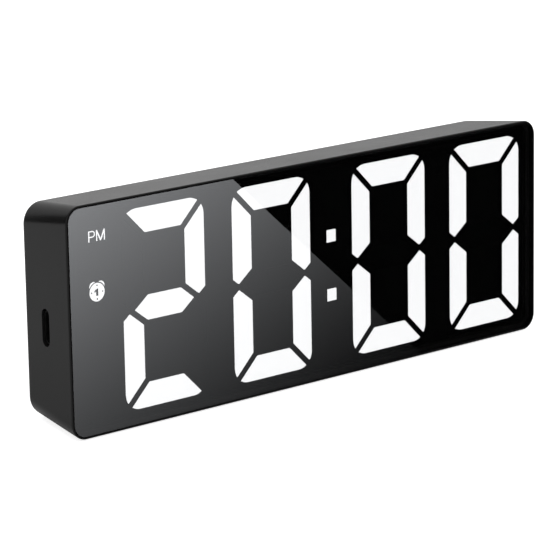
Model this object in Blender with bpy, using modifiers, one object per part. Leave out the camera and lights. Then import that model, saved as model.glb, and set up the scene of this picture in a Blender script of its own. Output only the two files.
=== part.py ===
"""Digital alarm clock with large lit digits: a drafted black housing closed by a smoked front lens.

Every size is in metres. The clock is modelled in a face frame: x to the right, y from the front
face towards the back and z up along the face. An empty then leans that frame back, so that the
drafted base lies flat, and sets the origin under the middle of the clock.
"""

import math

import bmesh
import bpy
from mathutils import Matrix, Vector

# Overall size of the housing
WIDTH = 0.165
HEIGHT = 0.060
TAPER = 0.002275
FRONT_CORNER = 0.0044
BACK_CORNER = 0.0054
FRONT_ROUND = 0.00025
BACK_ROUND = 0.0012
WALL = 0.0020

# Clearances
GAP = 0.0003
FINE_GAP = 0.00015
CUT_PAST = 0.002
EMBED = 0.0004

# Front lens and the tape that holds it
LENS_RIM = 0.00045
LENS_THICK = 0.0015
LENS_CHAMFER = 0.0001
TAPE_THICK = 0.0003
TAPE_WIDTH = 0.0010

# Digits, which fill the face between these margins
SIGN_MARGIN = 0.01907
END_SPACE = 0.00092
TOP_SPACE = 0.00084
BASE_SPACE = 0.00049
DIGIT_SPACE = 0.0095
PAIR_SPACE = 0.0151
BAR_WIDTH = 0.0064
BAR_GAP = 0.0018
BAR_ROUND = 0.0045
BAR_TIP = 0.0020
TIP_SPACE = 0.0017
TIP_ANGLE = math.radians(38.0)

# Colon and the two small signs at the left
COLON_DOT = 0.0032
COLON_SPACING = 0.0161
COLON_RAISE = 0.0002
SIGN_X = 0.0108
PM_DROP = 0.0088
PM_WIDTH = 0.0062
PM_HEIGHT = 0.0040
ALARM_DROP = 0.0230
ALARM_DIAMETER = 0.0062

# Segment mask and the light guides behind it
MASK_THICK = 0.0026
WINDOW_CLEARANCE = 0.0002
WINDOW_DRAFT = 0.00025
GUIDE_WEB = 0.0007
GUIDE_MARGIN = 0.0007
WEB_CORNER = 0.0015
POST_DIAMETER = 0.0046
POST_EDGE = 0.0080
POST_SKIN = 0.0006

# Display board and what is soldered to it
BOARD_THICK = 0.0010
LED_LENGTH = 0.0028
LED_WIDTH = 0.0014
LED_HEIGHT = 0.0005
DRIVER_SIZE = 0.0070
DRIVER_HEIGHT = 0.0014
DRIVER_CHAMFER = 0.0003
DRIVER_SPACE = 0.0253
CHIP_DROP = 0.0120
CRYSTAL_DIAMETER = 0.0020
CRYSTAL_LENGTH = 0.0060
CRYSTAL_SPACE = 0.0133
BUZZER_DIAMETER = 0.0120
BUZZER_HEIGHT = 0.0085
BUZZER_HOLE = 0.0020
BUZZER_HOLE_DEPTH = 0.0030
BUZZER_EDGE = 0.0004
BUZZER_INSET = 0.0315
BUZZER_RISE = 0.0090

# Charging socket in the left side
PORT_DROP = 0.0025
PORT_END_ROOM = 0.00043
PORT_SIDE_ROOM = 0.00015
SOCKET_LENGTH = 0.00894
SOCKET_WIDTH = 0.00316
SOCKET_DEPTH = 0.00735
SOCKET_METAL = 0.0003
SOCKET_RECESS = 0.0010
SOCKET_BLOCK = 0.0018
TONGUE_LENGTH = 0.0067
TONGUE_THICK = 0.0007
TONGUE_RECESS = 0.0009
SOCKET_BOARD_THICK = 0.0016
SOCKET_BOARD_LENGTH = 0.0135
SOCKET_BOARD_HEIGHT = 0.0150

# Rear cover
COVER_THICK = 0.0020
COVER_CHAMFER = 0.0003
SLOT_COUNT = 5
SLOT_LENGTH = 0.0085
SLOT_WIDTH = 0.0012
SLOT_PITCH = 0.0024

# Battery bay
CELL_DIAMETER = 0.0105
CELL_LENGTH = 0.0445
CELL_COUNT = 3
CELL_SPACE = 0.0004
CELL_ROOM = 0.0003
CELL_EDGE = 0.0004
NUB_DIAMETER = 0.0038
NUB_LENGTH = 0.0010
BAY_WALL = 0.0012
BAY_FLOOR = 0.0008
PLATE_THICK = 0.0004
PLATE_INSET = 0.00105
PLATE_DROP = 0.00085
TAIL_WIDTH = 0.0022
TAIL_REACH = 0.0012
TAIL_DEPTH = 0.0027
SPRING_LENGTH = 0.0042
SPRING_BASE = 0.0066
SPRING_TOP = 0.0042
SPRING_WIRE = 0.0005
SPRING_TURNS = 3
SPRING_STEPS = 9
LEAD_DIAMETER = 0.0009

# Battery door
DOOR_THICK = 0.0016
DOOR_LAP = 0.0012
DOOR_CORNER = 0.0015
DOOR_CHAMFER = 0.0003
TRUNNION_DIAMETER = 0.0009
TRUNNION_LENGTH = 0.0011
THUMB_NOTCH = 0.0120
THUMB_REACH = 0.0024
THUMB_DEPTH = 0.0011
GROOVE_COUNT = 3
GROOVE_LENGTH = 0.0080
GROOVE_DEPTH = 0.0004
GROOVE_WIDTH = 0.0006
GROOVE_PITCH = 0.0016

# Buttons and their switches
BUTTON_NAMES = ["mode", "set", "up", "down", "alarm"]
BUTTON_INSET = 0.0305
BUTTON_PITCH = 0.0082
BUTTON_LENGTH = 0.0086
BUTTON_WIDTH = 0.0050
BUTTON_CORNER = 0.0024
BUTTON_PROUD = 0.0006
BUTTON_FLANGE = 0.0008
BUTTON_LIP = 0.0009
BUTTON_EDGE = 0.0004
STEM_DIAMETER = 0.0030
SWITCH_SIZE = 0.0060
SWITCH_HEIGHT = 0.0035
SWITCH_BORE = 0.0020
PLUNGER_DIAMETER = 0.0034
PLUNGER_HEIGHT = 0.0018
PLUNGER_SUNK = 0.0012

# Fasteners and the bosses that take them
BOSS_DIAMETER = 0.0062
BOSS_EDGE = 0.0078
GUSSET = 0.0014
GUSSET_STEP = 0.0008
COVER_SCREW = 0.0024
COVER_SCREW_LENGTH = 0.0080
COVER_HEAD = 0.0044
COVER_HEAD_HEIGHT = 0.0009
COVER_HEAD_SUNK = 0.0001
BOARD_SCREW = 0.0017
BOARD_SCREW_LENGTH = 0.0044
BOARD_HEAD = 0.0036
BOARD_HEAD_HEIGHT = 0.0011
HEAD_EDGE = 0.0003
SCREW_FIT = 0.0002
RIB_WIDTH = 0.0050
RIB_HEIGHT = 0.0014
RIB_REACH = 0.0022

# Rubber strips under the base
FOOT_END = 0.0275
FOOT_WIDTH = 0.0034
FOOT_THICK = 0.0011
FOOT_PROUD = 0.0005
FOOT_EDGE = 0.0042

# Smoothness of round shapes
CORNER_STEPS = 6
EDGE_STEPS = 3
BAR_STEPS = 2
END_STEPS = 3
ROUND_STEPS = 16
CELL_STEPS = 24
SCREW_STEPS = 10
SHARP_ANGLE = math.radians(32.0)

# Depths of the layers, from the front face backwards
MASK_FRONT = LENS_THICK + TAPE_THICK + 2 * FINE_GAP
MASK_BACK = MASK_FRONT + MASK_THICK
WEB_FRONT = MASK_BACK + GAP
WEB_BACK = WEB_FRONT + GUIDE_WEB
BOARD_FRONT = WEB_BACK + GAP + LED_HEIGHT
BOARD_BACK = BOARD_FRONT + BOARD_THICK
MOUNTED = BOARD_BACK + GAP
CELL_DEPTH = MOUNTED + BAY_FLOOR + GAP + CELL_DIAMETER / 2
DEPTH = CELL_DEPTH + CELL_DIAMETER / 2 + CELL_ROOM + DOOR_THICK
COVER_FRONT = DEPTH - COVER_THICK
BOSS_BACK = COVER_FRONT - GAP
PORT_DEPTH = MOUNTED + SOCKET_BOARD_THICK + GAP + SOCKET_WIDTH / 2
PORT_WIDTH = SOCKET_WIDTH + 2 * PORT_SIDE_ROOM
PORT_LENGTH = SOCKET_LENGTH + 2 * PORT_END_ROOM

# Sizes of the digits: what the housing's inner walls and the margins leave
WEB_EDGE = TAPER * WEB_BACK / DEPTH + WALL + GUIDE_MARGIN
END_MARGIN = WEB_EDGE + END_SPACE
DIGIT_LOW = WEB_EDGE + BASE_SPACE
DIGIT_HEIGHT = HEIGHT - DIGIT_LOW - WEB_EDGE - TOP_SPACE
DIGIT_WIDTH = (WIDTH - SIGN_MARGIN - END_MARGIN - 2 * DIGIT_SPACE - PAIR_SPACE) / 4
DIGIT_PITCH = DIGIT_WIDTH + DIGIT_SPACE
DISPLAY_SHIFT = (SIGN_MARGIN - END_MARGIN) / 2

# Heights above the base
MIDDLE = HEIGHT / 2
PM_Z = HEIGHT - PM_DROP
ALARM_Z = HEIGHT - ALARM_DROP
PORT_Z = MIDDLE - PORT_DROP
CHIP_Z = MIDDLE - CHIP_DROP
BUZZER_Z = MIDDLE + BUZZER_RISE

# Battery bay and its door
CELL_PITCH = CELL_DIAMETER + CELL_SPACE
TROUGH_RADIUS = CELL_DIAMETER / 2 + GAP
BAY_LENGTH = CELL_LENGTH + SPRING_LENGTH + 2 * PLATE_THICK + 5 * GAP
BAY_HEIGHT = (CELL_COUNT - 1) * CELL_PITCH + 2 * TROUGH_RADIUS
REBATE_LENGTH = BAY_LENGTH + 2 * (DOOR_LAP + GAP)
REBATE_HEIGHT = BAY_HEIGHT + 2 * (DOOR_LAP + GAP)
DOOR_LENGTH = REBATE_LENGTH - 2 * GAP
DOOR_HEIGHT = REBATE_HEIGHT - 2 * GAP
HINGE_DEPTH = DEPTH - DOOR_THICK / 2
HINGE_Z = MIDDLE - DOOR_HEIGHT / 2 + DOOR_THICK / 2
PLATE_HALF = CELL_DIAMETER / 2 - PLATE_INSET
PLATE_LOW = math.sqrt((TROUGH_RADIUS - FINE_GAP) ** 2 - PLATE_HALF**2)
PLATE_HIGH = CELL_DIAMETER / 2 - PLATE_DROP

# Places across the width
BUTTON_X = WIDTH / 2 - BUTTON_INSET
BUZZER_X = BUZZER_INSET - WIDTH / 2
DRIVER_X = -(BAY_LENGTH / 2 + BAY_WALL + DRIVER_SPACE)
CRYSTAL_X = -(BAY_LENGTH / 2 + BAY_WALL + CRYSTAL_SPACE)
FOOT_LENGTH = WIDTH - 2 * FOOT_END
FRONT_FOOT = FOOT_EDGE
REAR_FOOT = DEPTH - FOOT_EDGE

# How the clock stands: the drafted base lies flat, so the face leans back
LEAN = math.atan2(TAPER, DEPTH)


# Outlines, as points (x, z) that run anticlockwise seen from the front


def arc(centre, radius, start, end, steps):
    points = []
    for step in range(steps + 1):
        angle = start + (end - start) * step / steps
        points.append((centre[0] + radius * math.cos(angle), centre[1] + radius * math.sin(angle)))
    return points


def rounded_rect(width, height, radius, centre=(0.0, 0.0), steps=CORNER_STEPS):
    reach_x = width / 2 - radius
    reach_z = height / 2 - radius
    points = []
    for turn, (side_x, side_z) in enumerate([(1, 1), (-1, 1), (-1, -1), (1, -1)]):
        corner = (centre[0] + side_x * reach_x, centre[1] + side_z * reach_z)
        start = turn * math.pi / 2
        points += arc(corner, radius, start, start + math.pi / 2, steps)
    return points


def stadium(width, height, centre=(0.0, 0.0)):
    """A slot outline with round ends on its short sides."""
    radius = min(width, height) / 2
    sides = [0.0, math.pi] if width > height else [math.pi / 2, -math.pi / 2]
    points = []
    for side in sides:
        reach_x = math.cos(side) * (width / 2 - radius)
        reach_z = math.sin(side) * (height / 2 - radius)
        end = (centre[0] + reach_x, centre[1] + reach_z)
        points += arc(end, radius, side - math.pi / 2, side + math.pi / 2, 2 * END_STEPS)
    return points


def rectangle(width, height, centre=(0.0, 0.0)):
    corners = [(1, -1), (1, 1), (-1, 1), (-1, -1)]
    return [(centre[0] + x * width / 2, centre[1] + z * height / 2) for x, z in corners]


def circle(diameter, centre=(0.0, 0.0), steps=ROUND_STEPS):
    return arc(centre, diameter / 2, 0, 2 * math.pi * (steps - 1) / steps, steps - 1)


def body_outline(depth, inset):
    """The housing's outline at a depth, drawn in by its draft and by a further inset."""
    share = depth / DEPTH
    drawn_in = TAPER * share + inset
    radius = FRONT_CORNER + (BACK_CORNER - FRONT_CORNER) * share - inset
    size = (WIDTH - 2 * drawn_in, HEIGHT - 2 * drawn_in)
    return rounded_rect(*size, max(radius, WALL / 4), (0.0, MIDDLE))


def flat_outline(inset):
    """The front outline drawn in evenly, for the lens and its seat."""
    radius = max(FRONT_CORNER - inset, WALL / 4)
    return rounded_rect(WIDTH - 2 * inset, HEIGHT - 2 * inset, radius, (0.0, MIDDLE))


def cavity_inset(depth):
    """How far inside the front outline the housing's inner wall lies at a depth."""
    return TAPER * depth / DEPTH + WALL


def grown(outline, distance):
    """A convex outline with each of its sides moved outwards by the same distance."""
    points = []
    for index, spot in enumerate(outline):
        before = Vector(outline[index - 1])
        here = Vector(spot)
        after = Vector(outline[(index + 1) % len(outline)])
        first = (here - before).normalized()
        second = (after - here).normalized()
        outward = Vector((first.y, -first.x))
        normal = (outward + Vector((second.y, -second.x))).normalized()
        points.append(tuple(here + normal * distance / normal.dot(outward)))
    return points


def moved(outline, offset):
    return [(x + offset[0], z + offset[1]) for x, z in outline]


def mirrored_x(outline, width):
    return [(width - x, z) for x, z in reversed(outline)]


def mirrored_z(outline, height):
    return [(x, height - z) for x, z in reversed(outline)]


def corner_bar():
    """The top bar: straight inside, rounded outside, mitred at both ends."""
    mitre = BAR_GAP / math.sqrt(2)
    reach = (math.sqrt(2 * BAR_ROUND**2 - mitre**2) - mitre) / 2
    centre = (BAR_ROUND, DIGIT_HEIGHT - BAR_ROUND)
    tip = math.atan2(reach + mitre, -reach)
    left = arc(centre, BAR_ROUND, math.pi / 2, tip, BAR_STEPS)
    inner = BAR_WIDTH + mitre
    inside = [(inner, DIGIT_HEIGHT - BAR_WIDTH), (DIGIT_WIDTH - inner, DIGIT_HEIGHT - BAR_WIDTH)]
    return inside + mirrored_x(left, DIGIT_WIDTH) + left


def side_bar():
    """The upper left bar: mitred at the top and pointed at the middle of the digit."""
    mitre = BAR_GAP / math.sqrt(2)
    reach = (math.sqrt(2 * BAR_ROUND**2 - mitre**2) - mitre) / 2
    centre = (BAR_ROUND, DIGIT_HEIGHT - BAR_ROUND)
    tip = math.atan2(reach, -reach - mitre)
    slope = math.tan(TIP_ANGLE)
    low = DIGIT_HEIGHT / 2 + TIP_SPACE / 2
    points = arc(centre, BAR_ROUND, tip, math.pi, BAR_STEPS)
    points += [(0.0, low + BAR_TIP * slope), (BAR_TIP, low)]
    points += [(BAR_WIDTH, low + (BAR_WIDTH - BAR_TIP) * slope)]
    points += [(BAR_WIDTH, DIGIT_HEIGHT - BAR_WIDTH - mitre)]
    return points


def cross_bar():
    """The middle bar, a long hexagon whose tips fit between the pointed side bars."""
    slope = math.tan(TIP_ANGLE)
    half = BAR_WIDTH / 2
    middle = DIGIT_HEIGHT / 2
    tip = BAR_TIP + (BAR_GAP / math.cos(TIP_ANGLE) - TIP_SPACE / 2) / slope
    shoulder = tip + half / slope
    left = [(shoulder, middle + half), (tip, middle), (shoulder, middle - half)]
    return left + mirrored_x(left, DIGIT_WIDTH)


def digit_bars():
    """The seven bars of one digit, as outlines from the digit's lower left corner."""
    top = corner_bar()
    left = side_bar()
    right = mirrored_x(left, DIGIT_WIDTH)
    lower = [mirrored_z(bar, DIGIT_HEIGHT) for bar in (top, left, right)]
    return [top, right, lower[2], lower[0], lower[1], left, cross_bar()]


def digit_corners():
    """The lower left corner of each digit."""
    left = SIGN_MARGIN - WIDTH / 2
    second_pair = left + DIGIT_PITCH + DIGIT_WIDTH + PAIR_SPACE
    places = (left, left + DIGIT_PITCH, second_pair, second_pair + DIGIT_PITCH)
    return [(x, DIGIT_LOW) for x in places]


def colon_dots():
    middle = MIDDLE + COLON_RAISE
    places = [middle + COLON_SPACING / 2, middle - COLON_SPACING / 2]
    return [rectangle(COLON_DOT, COLON_DOT, (DISPLAY_SHIFT, z)) for z in places]


def sign_windows():
    x = SIGN_X - WIDTH / 2
    plate = rounded_rect(PM_WIDTH, PM_HEIGHT, PM_HEIGHT / 4, (x, PM_Z), 2)
    return [plate, circle(ALARM_DIAMETER, (x, ALARM_Z))]


def digit_outlines(corner):
    return [moved(bar, corner) for bar in digit_bars()]


def all_windows():
    windows = colon_dots() + sign_windows()
    for corner in digit_corners():
        windows += digit_outlines(corner)
    return windows


# Objects


def clear_scene():
    for found in list(bpy.data.objects):
        bpy.data.objects.remove(found)


def make_collection(name):
    made = bpy.data.collections.new(name)
    bpy.context.scene.collection.children.link(made)
    return made


def make_material(name, colour, roughness, metallic=0.0, alpha=1.0):
    made = bpy.data.materials.new(name)
    made.use_nodes = True
    shader = made.node_tree.nodes["Principled BSDF"]
    shader.inputs["Base Color"].default_value = (*colour, 1.0)
    shader.inputs["Roughness"].default_value = roughness
    shader.inputs["Metallic"].default_value = metallic
    shader.inputs["Alpha"].default_value = alpha
    made.diffuse_color = (*colour, alpha)
    return made


def round_over(radius):
    """Steps (rise, inset) of a rounded edge, from the flat end up to the side."""
    steps = []
    for step in range(EDGE_STEPS + 1):
        angle = math.pi / 2 * step / EDGE_STEPS
        steps.append((radius * (1 - math.cos(angle)), radius * (1 - math.sin(angle))))
    return steps


def housing_sections():
    sections = [(rise, body_outline(rise, inset)) for rise, inset in round_over(FRONT_ROUND)]
    for rise, inset in reversed(round_over(BACK_ROUND)):
        sections.append((DEPTH - rise, body_outline(DEPTH - rise, inset)))
    return sections


def standing_middle():
    """Half way between the foremost and rearmost points of the clock as it stands."""
    reaches = []
    for depth, outline in housing_sections():
        reaches += [depth * math.cos(LEAN) + z * math.sin(LEAN) for _, z in outline]
    return (min(reaches) + max(reaches)) / 2


def make_frame(name, matrix):
    made = bpy.data.objects.new(name, None)
    made.empty_display_size = 0.01
    made.matrix_world = matrix
    CLOCK.objects.link(made)
    return made


clear_scene()
CLOCK = make_collection("digital_alarm_clock")
CUTTERS = make_collection("cutters")
FLOOR_PLACE = Matrix.Translation((0, -standing_middle(), FOOT_PROUD))
FLOOR_FRAME = make_frame("floor_frame", FLOOR_PLACE)
FACE_FRAME = make_frame("face_frame", FLOOR_PLACE @ Matrix.Rotation(-LEAN, 4, "X"))

HOUSING_BLACK = make_material("housing_black", (0.022, 0.022, 0.023), 0.42)
COVER_BLACK = make_material("cover_black", (0.018, 0.018, 0.018), 0.55)
SMOKED = make_material("smoked_lens", (0.01, 0.01, 0.011), 0.06, alpha=0.45)
MASK_BLACK = make_material("mask_black", (0.006, 0.006, 0.006), 0.7)
GUIDE_WHITE = make_material("guide_white", (0.92, 0.93, 0.95), 0.4)
TAPE_GREY = make_material("tape_grey", (0.03, 0.03, 0.03), 0.8)
BOARD_GREEN = make_material("board_green", (0.02, 0.12, 0.05), 0.45)
CHIP_BLACK = make_material("chip_black", (0.015, 0.015, 0.015), 0.5)
BUTTON_GREY = make_material("button_grey", (0.05, 0.05, 0.052), 0.5)
PLUNGER_GREY = make_material("plunger_grey", (0.3, 0.3, 0.3), 0.5)
STEEL = make_material("steel", (0.6, 0.6, 0.6), 0.3, 1.0)
DARK_STEEL = make_material("dark_steel", (0.12, 0.12, 0.12), 0.4, 1.0)
CELL_SLEEVE = make_material("cell_sleeve", (0.08, 0.1, 0.12), 0.35)
LEAD_RED = make_material("lead_red", (0.45, 0.02, 0.02), 0.5)
LEAD_BLACK = make_material("lead_black", (0.02, 0.02, 0.02), 0.5)
RUBBER = make_material("rubber", (0.02, 0.02, 0.02), 0.85)


def finish_mesh(name, bm, material):
    bmesh.ops.recalc_face_normals(bm, faces=bm.faces)
    mesh = bpy.data.meshes.new(name)
    bm.to_mesh(mesh)
    bm.free()
    made = bpy.data.objects.new(name, mesh)
    made.parent = FACE_FRAME
    if material:
        CLOCK.objects.link(made)
        mesh.materials.append(material)
    else:
        CUTTERS.objects.link(made)
        made.hide_render = True
        made.display_type = "WIRE"
    mesh.shade_smooth()
    mesh.set_sharp_from_angle(angle=SHARP_ANGLE)
    return made


def lofts(name, bodies, material=None):
    """Closed solids through outlines of equal point count, each a list of (depth, outline)."""
    bm = bmesh.new()
    for sections in bodies:
        rings = [[bm.verts.new((x, depth, z)) for x, z in outline] for depth, outline in sections]
        for front, back in zip(rings, rings[1:]):
            for index in range(len(front)):
                after = (index + 1) % len(front)
                bm.faces.new((front[index], front[after], back[after], back[index]))
        bm.faces.new(rings[0])
        bm.faces.new(list(reversed(rings[-1])))
    return finish_mesh(name, bm, material)


def loft(name, sections, material=None):
    return lofts(name, [sections], material)


def slabs(name, outlines, front, back, material=None):
    """Straight extrusions of outlines from a front depth to a back depth."""
    bm = bmesh.new()
    for outline in outlines:
        base = bm.faces.new([bm.verts.new((x, front, z)) for x, z in outline])
        extruded = bmesh.ops.extrude_face_region(bm, geom=[base])["geom"]
        far = [item for item in extruded if isinstance(item, bmesh.types.BMVert)]
        bmesh.ops.translate(bm, verts=far, vec=(0, back - front, 0))
    return finish_mesh(name, bm, material)


def slab(name, outline, front, back, material=None):
    return slabs(name, [outline], front, back, material)


def boxes(name, corners, material=None):
    """Boxes, each given by its lowest and its highest corner."""
    bm = bmesh.new()
    for low, high in corners:
        middle = (Vector(low) + Vector(high)) / 2
        size = Vector(high) - Vector(low)
        place = Matrix.Translation(middle) @ Matrix.Diagonal((*size, 1.0))
        bmesh.ops.create_cube(bm, size=1.0, matrix=place)
    return finish_mesh(name, bm, material)


def cylinders(name, diameter, places, front, back, material=None, steps=ROUND_STEPS):
    """Cylinders along y at places (x, z)."""
    bm = bmesh.new()
    for x, z in places:
        centre = Matrix.Translation((x, (front + back) / 2, z))
        place = centre @ Matrix.Rotation(-math.pi / 2, 4, "X")
        size = {"radius1": diameter / 2, "radius2": diameter / 2, "depth": back - front}
        bmesh.ops.create_cone(bm, cap_ends=True, segments=steps, matrix=place, **size)
    return finish_mesh(name, bm, material)


def lengthways(made, depth, z):
    """Turns a piece drawn along y so that it runs along +x, at a depth and a height."""
    made.data.transform(Matrix.Translation((0, depth, z)) @ Matrix.Rotation(-math.pi / 2, 4, "Z"))
    return made


def turned(name, profile, material, place, direction, steps=ROUND_STEPS):
    """A revolved piece. Its profile (radius, height) runs down the outer side from the top."""
    mesh = bpy.data.meshes.new(name)
    edges = [(index, index + 1) for index in range(len(profile) - 1)]
    mesh.from_pydata([(radius, 0.0, height) for radius, height in profile], edges, [])
    mesh.materials.append(material)
    made = bpy.data.objects.new(name, mesh)
    made.parent = FACE_FRAME
    made.location = place
    made.rotation_euler = Vector(direction).to_track_quat("Z", "Y").to_euler()
    screw = made.modifiers.new("turn", "SCREW")
    screw.axis = "Z"
    screw.angle = 2 * math.pi
    screw.steps = steps
    screw.render_steps = steps
    screw.use_merge_vertices = True
    screw.merge_threshold = 0.00001
    screw.use_smooth_shade = True
    CLOCK.objects.link(made)
    return made


def wire(name, points, diameter, material):
    curve = bpy.data.curves.new(name, "CURVE")
    curve.dimensions = "3D"
    curve.bevel_depth = diameter / 2
    curve.bevel_resolution = 1
    curve.use_fill_caps = True
    curve.materials.append(material)
    spline = curve.splines.new("POLY")
    spline.points.add(len(points) - 1)
    for spot, point in zip(spline.points, points):
        spot.co = (*point, 1.0)
    made = bpy.data.objects.new(name, curve)
    made.parent = FACE_FRAME
    CLOCK.objects.link(made)
    return made


def boolean(made, operand, operation):
    step = made.modifiers.new(operand.name, "BOOLEAN")
    step.operation = operation
    step.solver = "EXACT"
    step.object = operand


def cut(made, cutter):
    boolean(made, cutter, "DIFFERENCE")


def join(made, addition):
    boolean(made, addition, "UNION")


def set_origin(made, point):
    """Moves a piece's origin onto its joint's axis and leaves its shape where it is."""
    made.data.transform(Matrix.Translation(-Vector(point)))
    made.location = point


# Places that several pieces share


def boss_places():
    x = WIDTH / 2 - BOSS_EDGE
    return [(side * x, z) for side in (-1, 1) for z in (BOSS_EDGE, HEIGHT - BOSS_EDGE)]


def post_places():
    corners = [x for x, _ in digit_corners()]
    middles = [(corners[index] + DIGIT_WIDTH + corners[index + 1]) / 2 for index in (0, 2)]
    return [(x, z) for x in middles for z in (POST_EDGE, HEIGHT - POST_EDGE)]


def button_places():
    low = MIDDLE - (len(BUTTON_NAMES) - 1) * BUTTON_PITCH / 2
    return [(BUTTON_X, low + index * BUTTON_PITCH) for index in range(len(BUTTON_NAMES))]


def cell_heights():
    low = MIDDLE - (CELL_COUNT - 1) * CELL_PITCH / 2
    return [low + index * CELL_PITCH for index in range(CELL_COUNT)]


def cell_side(index):
    """The end of the bay that a cell's positive nub points to, which turns from cell to cell."""
    return -1 if index % 2 == 0 else 1


def pilot_holes(name, places, diameter, front, back):
    return cylinders(name, diameter + 2 * SCREW_FIT, places, front, back)


# Housing


def boss_gussets():
    """Thin webs that tie each screw boss to the two walls beside it."""
    front = MOUNTED + GUSSET_STEP
    back = BOSS_BACK - GUSSET_STEP
    into_wall = (TAPER * (front + back) / DEPTH + WALL) / 2
    half = GUSSET / 2
    level = []
    upright = []
    for x, z in boss_places():
        low_x, high_x = sorted((x, math.copysign(WIDTH / 2 - into_wall, x)))
        low_z, high_z = sorted((z, into_wall if z < MIDDLE else HEIGHT - into_wall))
        level.append(((low_x, front, z - half), (high_x, back, z + half)))
        upright.append(((x - half, front, low_z), (x + half, back, high_z)))
    return level, upright


def board_ribs():
    """Short ribs on the upper and lower walls that the display board rests against."""
    root = cavity_inset(MOUNTED) - WALL / 2
    tip = cavity_inset(MOUNTED) + RIB_REACH
    pieces = []
    for x in sorted({place for place, _ in post_places()}):
        for low, high in ((root, tip), (HEIGHT - tip, HEIGHT - root)):
            near = (x - RIB_WIDTH / 2, MOUNTED, low)
            pieces.append((near, (x + RIB_WIDTH / 2, MOUNTED + RIB_HEIGHT, high)))
    return pieces


def foot_solid(name, length, width, low, high, depth, material=None):
    """A strip with round ends that lies along x in the base, drawn in the floor's frame."""
    made = slab(name, stadium(length, width), low, high, material)
    made.data.transform(Matrix.Translation((0, depth, 0)) @ Matrix.Rotation(math.pi / 2, 4, "X"))
    made.parent = FLOOR_FRAME
    return made


def foot_recess(name, depth):
    high = FOOT_THICK - FOOT_PROUD + FINE_GAP
    size = (FOOT_LENGTH + 2 * FINE_GAP, FOOT_WIDTH + 2 * FINE_GAP)
    return foot_solid(name, *size, -CUT_PAST, high, depth)


def make_housing():
    housing = loft("front_housing", housing_sections(), HOUSING_BLACK)
    pocket = slab("lens_pocket", flat_outline(LENS_RIM), -CUT_PAST, MASK_FRONT)
    inner_start = LENS_THICK
    inner_end = DEPTH + CUT_PAST
    ends = [(depth, body_outline(depth, WALL)) for depth in (inner_start, inner_end)]
    cut(housing, pocket)
    cut(housing, loft("housing_cavity", ends))
    level, upright = boss_gussets()
    join(housing, boxes("level_gussets", level))
    join(housing, boxes("upright_gussets", upright))
    join(housing, cylinders("cover_bosses", BOSS_DIAMETER, boss_places(), MOUNTED, BOSS_BACK))
    join(housing, boxes("board_ribs", board_ribs()))
    deepest = DEPTH - COVER_HEAD_SUNK - COVER_HEAD_HEIGHT - COVER_SCREW_LENGTH - GAP
    cut(housing, pilot_holes("cover_pilots", boss_places(), COVER_SCREW, deepest, DEPTH))
    wall_ends = (-WIDTH / 2 - CUT_PAST, -WIDTH / 2 + 2 * WALL + CUT_PAST)
    port = slab("port_slot", stadium(PORT_WIDTH, PORT_LENGTH), *wall_ends)
    cut(housing, lengthways(port, PORT_DEPTH, PORT_Z))
    cut(housing, foot_recess("front_foot_recess", FRONT_FOOT))
    cut(housing, foot_recess("rear_foot_recess", REAR_FOOT))


def make_feet():
    size = (FOOT_LENGTH, FOOT_WIDTH)
    high = FOOT_THICK - FOOT_PROUD
    for name, depth in (("front_foot_strip", FRONT_FOOT), ("rear_foot_strip", REAR_FOOT)):
        foot_solid(name, *size, -FOOT_PROUD, high, depth, RUBBER)


# Display


def make_lens():
    edge = LENS_RIM + FINE_GAP
    sections = [(0.0, flat_outline(edge + LENS_CHAMFER)), (LENS_CHAMFER, flat_outline(edge))]
    loft("front_lens", sections + [(LENS_THICK, flat_outline(edge))], SMOKED)


def make_tape():
    front = LENS_THICK + FINE_GAP
    edge = LENS_RIM + FINE_GAP
    tape = slab("lens_tape", flat_outline(edge), front, front + TAPE_THICK, TAPE_GREY)
    inside = flat_outline(edge + TAPE_WIDTH)
    cut(tape, slab("tape_opening", inside, front - CUT_PAST, front + CUT_PAST))


def make_mask():
    outline = body_outline(MASK_BACK, WALL + GAP)
    mask = slab("segment_mask", outline, MASK_FRONT, MASK_BACK, MASK_BLACK)
    windows = []
    for window in all_windows():
        front = grown(window, WINDOW_CLEARANCE - WINDOW_DRAFT * CUT_PAST / MASK_THICK)
        back = grown(window, WINDOW_CLEARANCE + WINDOW_DRAFT * (1 + CUT_PAST / MASK_THICK))
        windows.append([(MASK_FRONT - CUT_PAST, front), (MASK_BACK + CUT_PAST, back)])
    cut(mask, lofts("mask_windows", windows))
    posts = (MASK_BACK - EMBED, BOARD_FRONT - GAP)
    join(mask, cylinders("mask_posts", POST_DIAMETER, post_places(), *posts))
    bottom = MASK_FRONT + POST_SKIN
    cut(mask, pilot_holes("post_pilots", post_places(), BOARD_SCREW, bottom, BOARD_BACK))


def make_guide(name, web, lands):
    """A light guide: a thin web behind the mask with a raised land in each of its windows."""
    guide = slab(name, web, WEB_FRONT, WEB_BACK, GUIDE_WHITE)
    join(guide, slabs(name + "_lands", lands, MASK_FRONT + FINE_GAP, WEB_FRONT + EMBED))


def web_round(left, right, low, high):
    """A rounded web round the box that some windows fill."""
    size = (right - left + 2 * GUIDE_MARGIN, high - low + 2 * GUIDE_MARGIN)
    return rounded_rect(*size, WEB_CORNER, ((left + right) / 2, (low + high) / 2), END_STEPS)


def make_guides():
    for number, (x, z) in enumerate(digit_corners(), start=1):
        web = web_round(x, x + DIGIT_WIDTH, z, z + DIGIT_HEIGHT)
        make_guide(f"digit_guide_{number}", web, digit_outlines((x, z)))
    for name, lands in (("colon_guide", colon_dots()), ("sign_guide", sign_windows())):
        across = [x for land in lands for x, _ in land]
        along = [z for land in lands for _, z in land]
        make_guide(name, web_round(min(across), max(across), min(along), max(along)), lands)


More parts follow.
